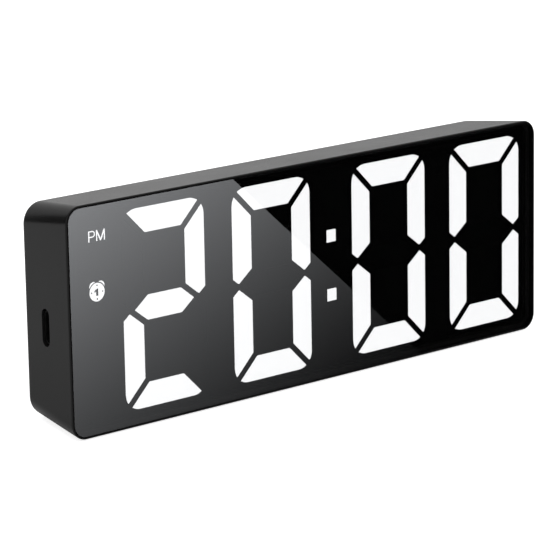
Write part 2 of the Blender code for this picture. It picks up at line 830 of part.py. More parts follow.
def led_boxes():
    """A light-emitting package behind the middle of each window, along its longer side."""
    pieces = []
    for outline in all_windows():
        across = [x for x, _ in outline]
        along = [z for _, z in outline]
        x = (max(across) + min(across)) / 2
        z = (max(along) + min(along)) / 2
        level = max(across) - min(across) > max(along) - min(along)
        size = (LED_LENGTH, LED_WIDTH) if level else (LED_WIDTH, LED_LENGTH)
        low = (x - size[0] / 2, BOARD_FRONT - LED_HEIGHT, z - size[1] / 2)
        pieces.append((low, (x + size[0] / 2, BOARD_FRONT + EMBED, z + size[1] / 2)))
    return pieces


def make_board():
    outline = body_outline(BOARD_BACK, WALL + GAP)
    board = slab("display_board", outline, BOARD_FRONT, BOARD_BACK, BOARD_GREEN)
    join(board, boxes("led_packages", led_boxes()))
    ends = (BOARD_FRONT - CUT_PAST, BOARD_BACK + CUT_PAST)
    cut(board, pilot_holes("board_holes", post_places(), BOARD_SCREW, *ends))


def make_driver():
    place = (DRIVER_X, CHIP_Z)
    full = rectangle(DRIVER_SIZE, DRIVER_SIZE, place)
    drawn_in = grown(full, -DRIVER_CHAMFER)
    back = MOUNTED + DRIVER_HEIGHT
    middle = MOUNTED + DRIVER_HEIGHT / 2
    loft("driver_chip", [(MOUNTED, drawn_in), (middle, full), (back, drawn_in)], CHIP_BLACK)


def make_crystal():
    ends = (CRYSTAL_X - CRYSTAL_LENGTH / 2, CRYSTAL_X + CRYSTAL_LENGTH / 2)
    can = cylinders("clock_crystal", CRYSTAL_DIAMETER, [(0, 0)], *ends, STEEL)
    lengthways(can, MOUNTED + CRYSTAL_DIAMETER / 2, CHIP_Z)


def make_buzzer():
    radius = BUZZER_DIAMETER / 2
    hole = BUZZER_HOLE / 2
    profile = [(0, BUZZER_HEIGHT - BUZZER_HOLE_DEPTH), (hole, BUZZER_HEIGHT - BUZZER_HOLE_DEPTH)]
    profile += [(hole, BUZZER_HEIGHT), (radius - BUZZER_EDGE, BUZZER_HEIGHT)]
    profile += [(radius, BUZZER_HEIGHT - BUZZER_EDGE), (radius, 0), (0, 0)]
    turned("buzzer", profile, CHIP_BLACK, (BUZZER_X, MOUNTED, BUZZER_Z), (0, 1, 0))


# Charging socket


def make_socket():
    mouth = -WIDTH / 2 + TAPER * PORT_DEPTH / DEPTH + SOCKET_RECESS
    back = mouth + SOCKET_DEPTH
    block = back - SOCKET_BLOCK
    shell = slab("usb_socket", stadium(SOCKET_WIDTH, SOCKET_LENGTH), mouth, back, STEEL)
    inside = (SOCKET_WIDTH - 2 * SOCKET_METAL, SOCKET_LENGTH - 2 * SOCKET_METAL)
    hollow = slab("socket_hollow", stadium(*inside), mouth - CUT_PAST, block)
    tongue_ends = (mouth + TONGUE_RECESS, block - GAP)
    tongue = slab("usb_tongue", rectangle(TONGUE_THICK, TONGUE_LENGTH), *tongue_ends, CHIP_BLACK)
    for piece in (shell, hollow, tongue):
        lengthways(piece, PORT_DEPTH, PORT_Z)
    cut(shell, hollow)
    left = -WIDTH / 2 + cavity_inset(MOUNTED + SOCKET_BOARD_THICK) + GAP
    low = (left, MOUNTED, PORT_Z - SOCKET_BOARD_HEIGHT / 2)
    high_depth = MOUNTED + SOCKET_BOARD_THICK
    high = (left + SOCKET_BOARD_LENGTH, high_depth, PORT_Z + SOCKET_BOARD_HEIGHT / 2)
    boxes("charging_board", [(low, high)], BOARD_GREEN)


# Rear cover


def rebate_outline():
    """The door's opening: round at its upper corners and square at the hinge."""
    half = REBATE_LENGTH / 2
    low = MIDDLE - REBATE_HEIGHT / 2
    high = MIDDLE + REBATE_HEIGHT / 2
    radius = DOOR_CORNER
    points = [(-half, low), (half, low)]
    points += arc((half - radius, high - radius), radius, 0, math.pi / 2, END_STEPS)
    points += arc((-half + radius, high - radius), radius, math.pi / 2, math.pi, END_STEPS)
    return points


def bay_outline():
    """The bay seen along x, as (-depth, z): open at the back, with a round trough for each cell."""
    back = -(DEPTH + CUT_PAST)
    ridge = math.acos(min(CELL_PITCH / 2 / TROUGH_RADIUS, 1.0))
    heights = cell_heights()
    points = [(back, heights[0] - TROUGH_RADIUS)]
    for z in heights:
        start = 0.0 if z == heights[0] else ridge
        end = math.pi if z == heights[-1] else math.pi - ridge
        trough = arc((0.0, 0.0), TROUGH_RADIUS, start, end, CELL_STEPS // 2)
        if z != heights[0]:
            trough = trough[1:]
        points += [(down - CELL_DEPTH, z - across) for across, down in trough]
    return points + [(back, heights[-1] + TROUGH_RADIUS)]


def sound_slots():
    places = [(index - (SLOT_COUNT - 1) / 2) * SLOT_PITCH for index in range(SLOT_COUNT)]
    return [stadium(SLOT_LENGTH, SLOT_WIDTH, (BUZZER_X, BUZZER_Z + z)) for z in places]


def tail_box(side, z, margin):
    """The solder tail of an end plate, or with a margin the hole in the bay's wall for it."""
    depth = CELL_DEPTH - TAIL_DEPTH
    inner = BAY_LENGTH / 2 - GAP - PLATE_THICK / 2
    outer = BAY_LENGTH / 2 + BAY_WALL + TAIL_REACH
    low_x, high_x = sorted((side * inner, side * outer))
    low = (low_x, depth - PLATE_THICK / 2 - margin, z - TAIL_WIDTH / 2 - margin)
    return low, (high_x, depth + PLATE_THICK / 2 + margin, z + TAIL_WIDTH / 2 + margin)


def tail_places():
    """The ends of the row of cells: the first cell's nub and the last cell's flat end."""
    heights = cell_heights()
    last = CELL_COUNT - 1
    return [(cell_side(0), heights[0]), (-cell_side(last), heights[last])]


def make_cover():
    edge = WALL + GAP
    flat = DEPTH - COVER_CHAMFER
    sections = [(COVER_FRONT, body_outline(COVER_FRONT, edge)), (flat, body_outline(flat, edge))]
    sections.append((DEPTH, body_outline(DEPTH, edge + COVER_CHAMFER)))
    cover = loft("rear_cover", sections, COVER_BLACK)
    bay = rectangle(BAY_LENGTH + 2 * BAY_WALL, BAY_HEIGHT + 2 * BAY_WALL, (0.0, MIDDLE))
    join(cover, slab("bay_block", bay, MOUNTED, COVER_FRONT + EMBED))
    rim = rectangle(REBATE_LENGTH + 2 * BAY_WALL, REBATE_HEIGHT + 2 * BAY_WALL, (0.0, MIDDLE))
    join(cover, slab("rebate_rim", rim, COVER_FRONT - BAY_WALL, COVER_FRONT + EMBED))
    hollow = slab("bay_hollow", bay_outline(), -BAY_LENGTH / 2, BAY_LENGTH / 2)
    cut(cover, lengthways(hollow, 0.0, 0.0))
    floor = DEPTH - DOOR_THICK - GAP
    cut(cover, slab("door_rebate", rebate_outline(), floor, DEPTH + CUT_PAST))
    thumb = stadium(THUMB_NOTCH, 2 * THUMB_REACH, (0.0, MIDDLE + REBATE_HEIGHT / 2))
    cut(cover, slab("thumb_notch", thumb, DEPTH - THUMB_DEPTH, DEPTH + CUT_PAST))
    reach = DOOR_LENGTH / 2 + TRUNNION_LENGTH + GAP
    socket = cylinders("trunnion_sockets", TRUNNION_DIAMETER + 2 * FINE_GAP, [(0, 0)], -reach, reach)
    cut(cover, lengthways(socket, HINGE_DEPTH, HINGE_Z))
    cut(cover, boxes("tail_holes", [tail_box(side, z, GAP) for side, z in tail_places()]))
    past = (COVER_FRONT - CUT_PAST, DEPTH + CUT_PAST)
    holes = []
    for place in button_places():
        size = (BUTTON_LENGTH + 2 * GAP, BUTTON_WIDTH + 2 * GAP, BUTTON_CORNER + GAP)
        holes.append(rounded_rect(*size, place, END_STEPS))
    cut(cover, slabs("button_holes", holes, *past))
    cut(cover, slabs("sound_slots", sound_slots(), *past))
    seat = DEPTH - COVER_HEAD_SUNK - COVER_HEAD_HEIGHT - FINE_GAP
    recess = COVER_HEAD + 2 * FINE_GAP
    cut(cover, cylinders("head_recesses", recess, boss_places(), seat, DEPTH + CUT_PAST))
    cut(cover, pilot_holes("cover_holes", boss_places(), COVER_SCREW, *past))


# Battery bay


def make_cells():
    radius = CELL_DIAMETER / 2
    nub = NUB_DIAMETER / 2
    shoulder = CELL_LENGTH - NUB_LENGTH
    profile = [(0, CELL_LENGTH), (nub, CELL_LENGTH), (nub, shoulder)]
    profile += [(radius - CELL_EDGE, shoulder), (radius, shoulder - CELL_EDGE)]
    profile += [(radius, CELL_EDGE), (radius - CELL_EDGE, 0), (0, 0)]
    for index, z in enumerate(cell_heights()):
        side = cell_side(index)
        base = side * (BAY_LENGTH / 2 - 2 * GAP - PLATE_THICK - CELL_LENGTH)
        place = (base, CELL_DEPTH, z)
        turned(f"battery_cell_{index + 1}", profile, CELL_SLEEVE, place, (side, 0, 0))


def plate_outline(heights):
    """An end plate seen along x, as (depth, z), with a notch between two cells."""
    low = CELL_DEPTH - PLATE_LOW
    high = CELL_DEPTH + PLATE_HIGH
    half = PLATE_HALF
    points = [(high, heights[-1] + half), (low, heights[-1] + half)]
    if len(heights) > 1:
        notch = CELL_DEPTH - GAP
        room = CELL_PITCH - half
        points += [(low, heights[0] + room), (notch, heights[0] + room)]
        points += [(notch, heights[0] + half), (low, heights[0] + half)]
    return points + [(low, heights[0] - half), (high, heights[0] - half)]


def make_plate(name, side, heights):
    inner = side * (BAY_LENGTH / 2 - GAP - PLATE_THICK)
    outer = side * (BAY_LENGTH / 2 - GAP)
    ends = sorted((inner, outer))
    outline = [(-depth, z) for depth, z in plate_outline(heights)]
    return lengthways(slab(name, outline, *ends, STEEL), 0.0, 0.0)


def make_plates():
    heights = cell_heights()
    for (side, z), name in zip(tail_places(), ("positive", "negative")):
        plate = make_plate(f"battery_plate_{name}", side, [z])
        join(plate, boxes(f"{name}_tail", [tail_box(side, z, 0.0)]))
    for index in range(CELL_COUNT - 1):
        pair = [heights[index], heights[index + 1]]
        make_plate(f"battery_link_{index + 1}", -cell_side(index), pair)


def spring_points(side, z):
    """A conical coil from the end plate to the flat end of its cell."""
    start = BAY_LENGTH / 2 - 2 * GAP - PLATE_THICK - SPRING_WIRE / 2
    run = SPRING_LENGTH - SPRING_WIRE
    count = SPRING_TURNS * SPRING_STEPS
    points = []
    for step in range(count + 1):
        share = step / count
        angle = 2 * math.pi * SPRING_TURNS * share
        radius = (SPRING_BASE + (SPRING_TOP - SPRING_BASE) * share - SPRING_WIRE) / 2
        x = side * (start - run * share)
        points.append((x, CELL_DEPTH + radius * math.cos(angle), z + radius * math.sin(angle)))
    return points


def make_springs():
    for index, z in enumerate(cell_heights()):
        points = spring_points(-cell_side(index), z)
        wire(f"battery_spring_{index + 1}", points, SPRING_WIRE, STEEL)


def lead_points(side, z):
    """A short quarter turn of wire from a plate's tail down to the display board."""
    start = side * (BAY_LENGTH / 2 + BAY_WALL + TAIL_REACH + GAP)
    depth = CELL_DEPTH - TAIL_DEPTH
    drop = depth - MOUNTED
    points = [(start, depth, z)]
    for x, y in arc((0.0, 0.0), drop, math.pi / 2, 0.0, 2 * END_STEPS):
        points.append((start + side * (x + LEAD_DIAMETER), depth - drop + y, z))
    return points


def make_leads():
    materials = (LEAD_RED, LEAD_BLACK)
    for (side, z), name, material in zip(tail_places(), ("positive", "negative"), materials):
        wire(f"battery_lead_{name}", lead_points(side, z), LEAD_DIAMETER, material)


def make_door():
    """The door is drawn along its hinge: a round lower edge, and upper corners that are rounded."""
    half = DOOR_THICK / 2
    full = DOOR_HEIGHT - half

    def section(height):
        points = arc((0.0, 0.0), half, math.pi, 2 * math.pi, 2 * END_STEPS)
        points += [(half, height - DOOR_CHAMFER), (half - DOOR_CHAMFER, height)]
        points += [(-half + DOOR_CHAMFER, height), (-half, height - DOOR_CHAMFER)]
        return points

    corner = []
    for x, fall in arc((DOOR_CORNER, DOOR_CORNER), DOOR_CORNER, math.pi, 1.5 * math.pi, END_STEPS):
        corner.append((-DOOR_LENGTH / 2 + x, section(full - fall)))
    other = [(-x, outline) for x, outline in reversed(corner)]
    door = lengthways(loft("battery_door", corner + other, COVER_BLACK), HINGE_DEPTH, HINGE_Z)
    reach = DOOR_LENGTH / 2 + TRUNNION_LENGTH
    pins = cylinders("trunnions", TRUNNION_DIAMETER, [(0, 0)], -reach, reach)
    join(door, lengthways(pins, HINGE_DEPTH, HINGE_Z))
    grooves = []
    for index in range(GROOVE_COUNT):
        z = MIDDLE + DOOR_HEIGHT / 2 - (index + 1) * GROOVE_PITCH
        low = (-GROOVE_LENGTH / 2, DEPTH - GROOVE_DEPTH, z - GROOVE_WIDTH / 2)
        grooves.append((low, (GROOVE_LENGTH / 2, DEPTH + CUT_PAST, z + GROOVE_WIDTH / 2)))
    cut(door, boxes("grip_grooves", grooves))
    set_origin(door, (0.0, HINGE_DEPTH, HINGE_Z))


# Buttons


def make_button(name, place):
    full = rounded_rect(BUTTON_LENGTH, BUTTON_WIDTH, BUTTON_CORNER, place, END_STEPS)
    flange_back = COVER_FRONT - GAP
    flange_front = flange_back - BUTTON_FLANGE
    top = DEPTH + BUTTON_PROUD
    sections = [(flange_front, grown(full, BUTTON_LIP)), (flange_back, grown(full, BUTTON_LIP))]
    sections += [(flange_back, full), (top - BUTTON_EDGE, full), (top, grown(full, -BUTTON_EDGE))]
    button = loft(f"button_{name}", sections, BUTTON_GREY)
    plunger_top = MOUNTED + SWITCH_HEIGHT + PLUNGER_HEIGHT
    ends = (plunger_top + GAP, flange_front + EMBED)
    join(button, cylinders(f"{name}_stem", STEM_DIAMETER, [place], *ends))
    bottom = MOUNTED + SWITCH_HEIGHT - PLUNGER_SUNK
    cylinders(f"plunger_{name}", PLUNGER_DIAMETER, [place], bottom, plunger_top, PLUNGER_GREY)
    square = rectangle(SWITCH_SIZE, SWITCH_SIZE, place)
    switch_back = MOUNTED + SWITCH_HEIGHT
    switch = slab(f"switch_{name}", square, MOUNTED, switch_back, CHIP_BLACK)
    bore = PLUNGER_DIAMETER + 2 * GAP
    bore_ends = (switch_back - SWITCH_BORE, switch_back + CUT_PAST)
    cut(switch, cylinders(f"{name}_bore", bore, [place], *bore_ends))


# Screws


def make_screws(name, places, seat, shank, length, head, head_height):
    radius = shank / 2
    cap = head / 2
    profile = [(0, head_height), (cap - HEAD_EDGE, head_height), (cap, head_height - HEAD_EDGE)]
    profile += [(cap, 0), (radius, 0), (radius, radius - length), (0, -length)]
    for number, (x, z) in enumerate(places, start=1):
        turned(f"{name}_{number}", profile, DARK_STEEL, (x, seat, z), (0, 1, 0), SCREW_STEPS)


def make_fasteners():
    seat = DEPTH - COVER_HEAD_SUNK - COVER_HEAD_HEIGHT
    shank = (COVER_SCREW, COVER_SCREW_LENGTH)
    make_screws("cover_screw", boss_places(), seat, *shank, COVER_HEAD, COVER_HEAD_HEIGHT)
    shank = (BOARD_SCREW, BOARD_SCREW_LENGTH)
    make_screws("board_screw", post_places(), MOUNTED, *shank, BOARD_HEAD, BOARD_HEAD_HEIGHT)


make_housing()
make_feet()
make_lens()
make_tape()
make_mask()
make_guides()
make_board()
make_driver()
make_crystal()
make_buzzer()
make_socket()
make_cover()
make_cells()
make_plates()
make_springs()
make_leads()
make_door()
for button_name, button_place in zip(BUTTON_NAMES, button_places()):
    make_button(button_name, button_place)
make_fasteners()
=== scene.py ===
"""The looks of the digital alarm clock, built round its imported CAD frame. Sizes are in metres."""

import math

import bmesh
import bpy
from mathutils import Matrix, Vector


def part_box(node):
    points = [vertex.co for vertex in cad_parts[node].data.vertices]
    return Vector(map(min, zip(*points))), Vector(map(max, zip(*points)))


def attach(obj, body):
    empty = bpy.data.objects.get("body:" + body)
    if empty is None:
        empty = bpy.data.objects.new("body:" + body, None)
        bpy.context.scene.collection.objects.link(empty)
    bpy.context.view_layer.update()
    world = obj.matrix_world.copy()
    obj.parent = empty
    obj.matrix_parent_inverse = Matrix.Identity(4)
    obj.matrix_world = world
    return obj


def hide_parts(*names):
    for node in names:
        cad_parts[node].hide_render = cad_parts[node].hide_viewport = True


# The part's own sizes, as the CAD source names them
WIDTH = 0.165
HEIGHT = 0.060
DEPTH = 0.0213
TAPER = 0.002275
FRONT_CORNER = 0.0044
BACK_CORNER = 0.0054
FRONT_ROUND = 0.00025
BACK_ROUND = 0.0012
WALL = 0.0020
GAP = 0.0003
FINE_GAP = 0.00015
CUT_PAST = 0.002
LENS_RIM = 0.00045
LENS_THICK = 0.0015
TAPE_THICK = 0.0003
MASK_THICK = 0.0026
FOOT_END = 0.0275
FOOT_WIDTH = 0.0034
FOOT_THICK = 0.0011
FOOT_PROUD = 0.0005
FOOT_EDGE = 0.0042
BOSS_EDGE = 0.0078
COVER_SCREW = 0.0024
COVER_SCREW_LENGTH = 0.0080
COVER_HEAD = 0.0044
COVER_HEAD_HEIGHT = 0.0009
COVER_HEAD_SUNK = 0.0001
CELL_DIAMETER = 0.0105
PORT_DEPTH = 0.01128
PORT_Z = 0.0275
PORT_LENGTH = 0.0098
PORT_WIDTH = 0.00346
SIGN_MARGIN = 0.01907
END_SPACE = 0.00092
TOP_SPACE = 0.00084
BASE_SPACE = 0.00049
DIGIT_SPACE = 0.0095
PAIR_SPACE = 0.0151
BAR_WIDTH = 0.0064
BAR_GAP = 0.0018
BAR_ROUND = 0.0045
BAR_TIP = 0.0020
TIP_SPACE = 0.0017
TIP_ANGLE = math.radians(38.0)
COLON_DOT = 0.0032
COLON_SPACING = 0.0161
COLON_RAISE = 0.0002
SIGN_X = 0.0108
PM_Z = 0.0512
PM_WIDTH = 0.0062
PM_HEIGHT = 0.0040
ALARM_Z = 0.0370
ALARM_DIAMETER = 0.0062
GUIDE_WEB = 0.0007
GUIDE_MARGIN = 0.0007
WEB_CORNER = 0.0015

MIDDLE = HEIGHT / 2
LEAN = math.atan2(TAPER, DEPTH)
MASK_FRONT = LENS_THICK + TAPE_THICK + 2 * FINE_GAP
MASK_BACK = MASK_FRONT + MASK_THICK
LAND_FRONT = MASK_FRONT + FINE_GAP
WEB_FRONT = MASK_BACK + GAP
WEB_BACK = WEB_FRONT + GUIDE_WEB
WEB_EDGE = TAPER * WEB_BACK / DEPTH + WALL + GUIDE_MARGIN
END_MARGIN = WEB_EDGE + END_SPACE
DIGIT_LOW = WEB_EDGE + BASE_SPACE
DIGIT_HEIGHT = HEIGHT - DIGIT_LOW - WEB_EDGE - TOP_SPACE
DIGIT_WIDTH = (WIDTH - SIGN_MARGIN - END_MARGIN - 2 * DIGIT_SPACE - PAIR_SPACE) / 4
DIGIT_PITCH = DIGIT_WIDTH + DIGIT_SPACE
DISPLAY_SHIFT = (SIGN_MARGIN - END_MARGIN) / 2

# Smoothness: how the solids were faceted, and the finer steps of the scene's own pieces
SOLID_CORNER_STEPS = 6
SOLID_EDGE_STEPS = 3
CORNER_STEPS = 20
EDGE_STEPS = 6
BAR_STEPS = 8
END_STEPS = 10
CIRCLE_STEPS = 48
MARK_STEPS = 16
SMALL_STEPS = 4
SHARP_ANGLE = math.radians(32.0)

# The clock shows two, zero, zero, zero: bars a to g of each digit
TWO = "abged"
ZERO = "abcdef"
SHOWN = [TWO, ZERO, ZERO, ZERO]
BAR_LETTERS = "abcdefg"

# Camera, in the face frame
CAMERA_PLACE = Vector((-0.53915, -0.60275, 0.22134))
CAMERA_AZIMUTH = math.radians(41.124)
CAMERA_ELEVATION = math.radians(13.446)
CAMERA_ROLL = math.radians(1.015)
CAMERA_LENS = 201.95
SENSOR = 36.0
CLIP_START = 0.01

BODY = "clock_body"


# Outlines, as points (x, z) that run anticlockwise seen from the front


def arc(centre, radius, start, end, steps):
    points = []
    for step in range(steps + 1):
        angle = start + (end - start) * step / steps
        points.append((centre[0] + radius * math.cos(angle), centre[1] + radius * math.sin(angle)))
    return points


def rounded_rect(width, height, radius, centre=(0.0, 0.0), steps=CORNER_STEPS, hold=0.0):
    """A rectangle with round corners. Points held beside each corner keep the flat sides flat."""
    reach_x = width / 2 - radius
    reach_z = height / 2 - radius
    points = []
    for turn, (side_x, side_z) in enumerate([(1, 1), (-1, 1), (-1, -1), (1, -1)]):
        corner = (centre[0] + side_x * reach_x, centre[1] + side_z * reach_z)
        start = turn * math.pi / 2
        end = start + math.pi / 2
        curve = arc(corner, radius, start, end, steps)
        if hold:
            first, last = curve[0], curve[-1]
            before = (first[0] + hold * math.sin(start), first[1] - hold * math.cos(start))
            after = (last[0] - hold * math.sin(end), last[1] + hold * math.cos(end))
            curve = [before] + curve + [after]
        points += curve
    return points


def stadium(width, height, centre=(0.0, 0.0)):
    """A slot outline with round ends on its short sides."""
    radius = min(width, height) / 2
    sides = [0.0, math.pi] if width > height else [math.pi / 2, -math.pi / 2]
    points = []
    for side in sides:
        reach_x = math.cos(side) * (width / 2 - radius)
        reach_z = math.sin(side) * (height / 2 - radius)
        end = (centre[0] + reach_x, centre[1] + reach_z)
        points += arc(end, radius, side - math.pi / 2, side + math.pi / 2, 2 * END_STEPS)
    return points


def rectangle(width, height, centre=(0.0, 0.0)):
    corners = [(1, -1), (1, 1), (-1, 1), (-1, -1)]
    return [(centre[0] + x * width / 2, centre[1] + z * height / 2) for x, z in corners]


def circle(diameter, centre=(0.0, 0.0), steps=CIRCLE_STEPS):
    return arc(centre, diameter / 2, 0, 2 * math.pi * (steps - 1) / steps, steps - 1)


HOLD = 0.0004


def body_outline(depth, inset, steps=CORNER_STEPS, hold=HOLD):
    """The housing's outline at a depth, drawn in by its draft and by a further inset."""
    share = depth / DEPTH
    drawn_in = TAPER * share + inset
    radius = FRONT_CORNER + (BACK_CORNER - FRONT_CORNER) * share - inset
    size = (WIDTH - 2 * drawn_in, HEIGHT - 2 * drawn_in)
    return rounded_rect(*size, max(radius, WALL / 4), (0.0, MIDDLE), steps, hold)


def flat_outline(inset):
    radius = max(FRONT_CORNER - inset, WALL / 4)
    size = (WIDTH - 2 * inset, HEIGHT - 2 * inset)
    return rounded_rect(*size, radius, (0.0, MIDDLE), hold=HOLD)


def moved(outline, offset):
    return [(x + offset[0], z + offset[1]) for x, z in outline]


def mirrored_x(outline, width):
    return [(width - x, z) for x, z in reversed(outline)]


def mirrored_z(outline, height):
    return [(x, height - z) for x, z in reversed(outline)]


def corner_bar():
    mitre = BAR_GAP / math.sqrt(2)
    reach = (math.sqrt(2 * BAR_ROUND**2 - mitre**2) - mitre) / 2
    centre = (BAR_ROUND, DIGIT_HEIGHT - BAR_ROUND)
    tip = math.atan2(reach + mitre, -reach)
    left = arc(centre, BAR_ROUND, math.pi / 2, tip, BAR_STEPS)
    inner = BAR_WIDTH + mitre
    inside = [(inner, DIGIT_HEIGHT - BAR_WIDTH), (DIGIT_WIDTH - inner, DIGIT_HEIGHT - BAR_WIDTH)]
    return inside + mirrored_x(left, DIGIT_WIDTH) + left


def side_bar():
    mitre = BAR_GAP / math.sqrt(2)
    reach = (math.sqrt(2 * BAR_ROUND**2 - mitre**2) - mitre) / 2
    centre = (BAR_ROUND, DIGIT_HEIGHT - BAR_ROUND)
    tip = math.atan2(reach, -reach - mitre)
    slope = math.tan(TIP_ANGLE)
    low = DIGIT_HEIGHT / 2 + TIP_SPACE / 2
    points = arc(centre, BAR_ROUND, tip, math.pi, BAR_STEPS)
    points += [(0.0, low + BAR_TIP * slope), (BAR_TIP, low)]
    points += [(BAR_WIDTH, low + (BAR_WIDTH - BAR_TIP) * slope)]
    points += [(BAR_WIDTH, DIGIT_HEIGHT - BAR_WIDTH - mitre)]
    return points


def cross_bar():
    slope = math.tan(TIP_ANGLE)
    half = BAR_WIDTH / 2
    middle = DIGIT_HEIGHT / 2
    tip = BAR_TIP + (BAR_GAP / math.cos(TIP_ANGLE) - TIP_SPACE / 2) / slope
    shoulder = tip + half / slope
    left = [(shoulder, middle + half), (tip, middle), (shoulder, middle - half)]
    return left + mirrored_x(left, DIGIT_WIDTH)


def digit_bars():
    top = corner_bar()
    left = side_bar()
    right = mirrored_x(left, DIGIT_WIDTH)
    lower = [mirrored_z(bar, DIGIT_HEIGHT) for bar in (top, left, right)]
    return dict(zip(BAR_LETTERS, [top, right, lower[2], lower[0], lower[1], left, cross_bar()]))


def digit_corners():
    left = SIGN_MARGIN - WIDTH / 2
    second_pair = left + DIGIT_PITCH + DIGIT_WIDTH + PAIR_SPACE
    places = (left, left + DIGIT_PITCH, second_pair, second_pair + DIGIT_PITCH)
    return [(x, DIGIT_LOW) for x in places]


def colon_dots():
    middle = MIDDLE + COLON_RAISE
    places = [middle + COLON_SPACING / 2, middle - COLON_SPACING / 2]
    return [rectangle(COLON_DOT, COLON_DOT, (DISPLAY_SHIFT, z)) for z in places]


def sign_windows():
    x = SIGN_X - WIDTH / 2
    plate = rounded_rect(PM_WIDTH, PM_HEIGHT, PM_HEIGHT / 4, (x, PM_Z), SMALL_STEPS)
    return [plate, circle(ALARM_DIAMETER, (x, ALARM_Z))]


def round_over(radius, count=EDGE_STEPS):
    """The steps of a rounded edge, as (rise, inset), from its face to its side."""
    steps = []
    for step in range(count + 1):
        angle = math.pi / 2 * step / count
        steps.append((radius * (1 - math.cos(angle)), radius * (1 - math.sin(angle))))
    return steps


def housing_steps(count, front_round=FRONT_ROUND):
    """The housing's sections as (depth, inset), from its front edge to its back edge."""
    front = round_over(front_round, count)
    back = [(DEPTH - rise, inset) for rise, inset in reversed(round_over(BACK_ROUND, count))]
    return front, back


def standing_middle():
    """Half way between the foremost and rearmost points of the solids as the clock stands."""
    reaches = []
    front, back = housing_steps(SOLID_EDGE_STEPS)
    for depth, inset in front + back:
        for _, z in body_outline(depth, inset, SOLID_CORNER_STEPS, 0.0):
            reaches.append(depth * math.cos(LEAN) + z * math.sin(LEAN))
    return (min(reaches) + max(reaches)) / 2


FLOOR_PLACE = Matrix.Translation((0, -standing_middle(), FOOT_PROUD))
FACE = FLOOR_PLACE @ Matrix.Rotation(-LEAN, 4, "X")


# Materials

NOISE_ROUGHNESS = 0.55
CLOUD_SCALE = 60.0
GRAIN_DETAIL = 2.0
# The span of the summed cloud and grain that goes from the dark to the light colour
GRAIN_RANGE = (0.7, 1.3)
SPECULAR = "Specular IOR Level"


def new_material(name):
    made = bpy.data.materials.new(name)
    made.use_nodes = True
    return made, made.node_tree, made.node_tree.nodes["Principled BSDF"]


def set_sockets(shader, values):
    for name, value in values.items():
        shader.inputs[name].default_value = value


def add_node(tree, kind, links=None, **values):
    node = tree.nodes.new(kind)
    for name, value in values.items():
        if name in node.inputs:
            node.inputs[name].default_value = value
        else:
            setattr(node, name, value)
    for name, source in (links or {}).items():
        tree.links.new(source, node.inputs[name])
    return node


def noise(tree, scale, detail=3.0):
    place = add_node(tree, "ShaderNodeTexCoord").outputs["Object"]
    node = add_node(tree, "ShaderNodeTexNoise", {"Vector": place})
    set_sockets(node, {"Scale": scale, "Detail": detail, "Roughness": NOISE_ROUGHNESS})
    return node.outputs["Fac"]


def spread(tree, value, low, high, start, end):
    """Carries a value from the span start to end over to the span low to high."""
    node = add_node(tree, "ShaderNodeMapRange", {"Value": value})
    set_sockets(node, {"From Min": start, "From Max": end, "To Min": low, "To Max": high})
    return node.outputs["Result"]


def blend_colours(tree, value, first, second):
    node = tree.nodes.new("ShaderNodeMix")
    node.data_type = "RGBA"
    tree.links.new(value, node.inputs[0])
    node.inputs[6].default_value = (*first, 1.0)
    node.inputs[7].default_value = (*second, 1.0)
    return node.outputs[2]


def grained(name, dark, light, rough, grain, height, **sockets):
    """A moulded or metal finish. Its colour goes in clouds from dark to light, its roughness over
    the span rough, and its relief has a grain of this fineness and height."""
    made, tree, shader = new_material(name)
    cloud = noise(tree, CLOUD_SCALE)
    fine = noise(tree, grain, GRAIN_DETAIL)
    mixed = add_node(tree, "ShaderNodeMath", operation="ADD")
    tree.links.new(cloud, mixed.inputs[0])
    tree.links.new(fine, mixed.inputs[1])
    both = spread(tree, mixed.outputs[0], 0.0, 1.0, *GRAIN_RANGE)
    tree.links.new(blend_colours(tree, both, dark, light), shader.inputs["Base Color"])
    tree.links.new(spread(tree, both, *rough, 0.0, 1.0), shader.inputs["Roughness"])
    bump = add_node(tree, "ShaderNodeBump", {"Height": fine}, Distance=height)
    tree.links.new(bump.outputs["Normal"], shader.inputs["Normal"])
    set_sockets(shader, sockets)
    return made


def grey(value):
    return (value, value, value)


HOUSING = grained(
    "housing_black", grey(0.008), grey(0.011), (0.20, 0.26), 2600.0, 0.000008, **{SPECULAR: 0.165}
)
COVER = grained(
    "cover_black", grey(0.013), grey(0.020), (0.40, 0.52), 2000.0, 0.00003, **{SPECULAR: 0.4}
)
TAPE = grained("tape_grey", grey(0.02), grey(0.03), (0.8, 0.9), 1500.0, 0.00002)
MASK = grained(
    "mask_black", grey(0.0015), grey(0.003), (0.75, 0.9), 3000.0, 0.00001, **{SPECULAR: 0.05}
)
BOARD = grained(
    "board_green", (0.010, 0.075, 0.030), (0.016, 0.11, 0.042), (0.3, 0.42), 900.0, 0.00002
)
CHIP = grained("chip_black", grey(0.012), grey(0.02), (0.45, 0.6), 3500.0, 0.00002)
BUTTON = grained("button_grey", grey(0.034), grey(0.043), (0.38, 0.48), 2600.0, 0.00002)
PLUNGER = grained("plunger_grey", grey(0.25), grey(0.32), (0.4, 0.5), 2000.0, 0.00002)
RUBBER = grained("foot_rubber", grey(0.012), grey(0.02), (0.8, 0.92), 1800.0, 0.00004)
STEEL = grained(
    "steel", grey(0.52), grey(0.66), (0.22, 0.38), 1200.0, 0.00001, Metallic=1.0
)
# The charging socket's steel, darkened as painted shade for the recess it sits in
SOCKET_STEEL_PAINTED_SHADE = grained(
    "socket_steel_painted_shade", grey(0.03), grey(0.05), (0.45, 0.6), 1600.0, 0.00001, Metallic=1.0
)
DARK_STEEL = grained(
    "dark_steel", grey(0.10), grey(0.17), (0.32, 0.45), 1600.0, 0.00001, Metallic=1.0
)
SLEEVE = grained("cell_sleeve", (0.05, 0.07, 0.09), (0.07, 0.09, 0.12), (0.25, 0.35), 800.0, 0.000002)
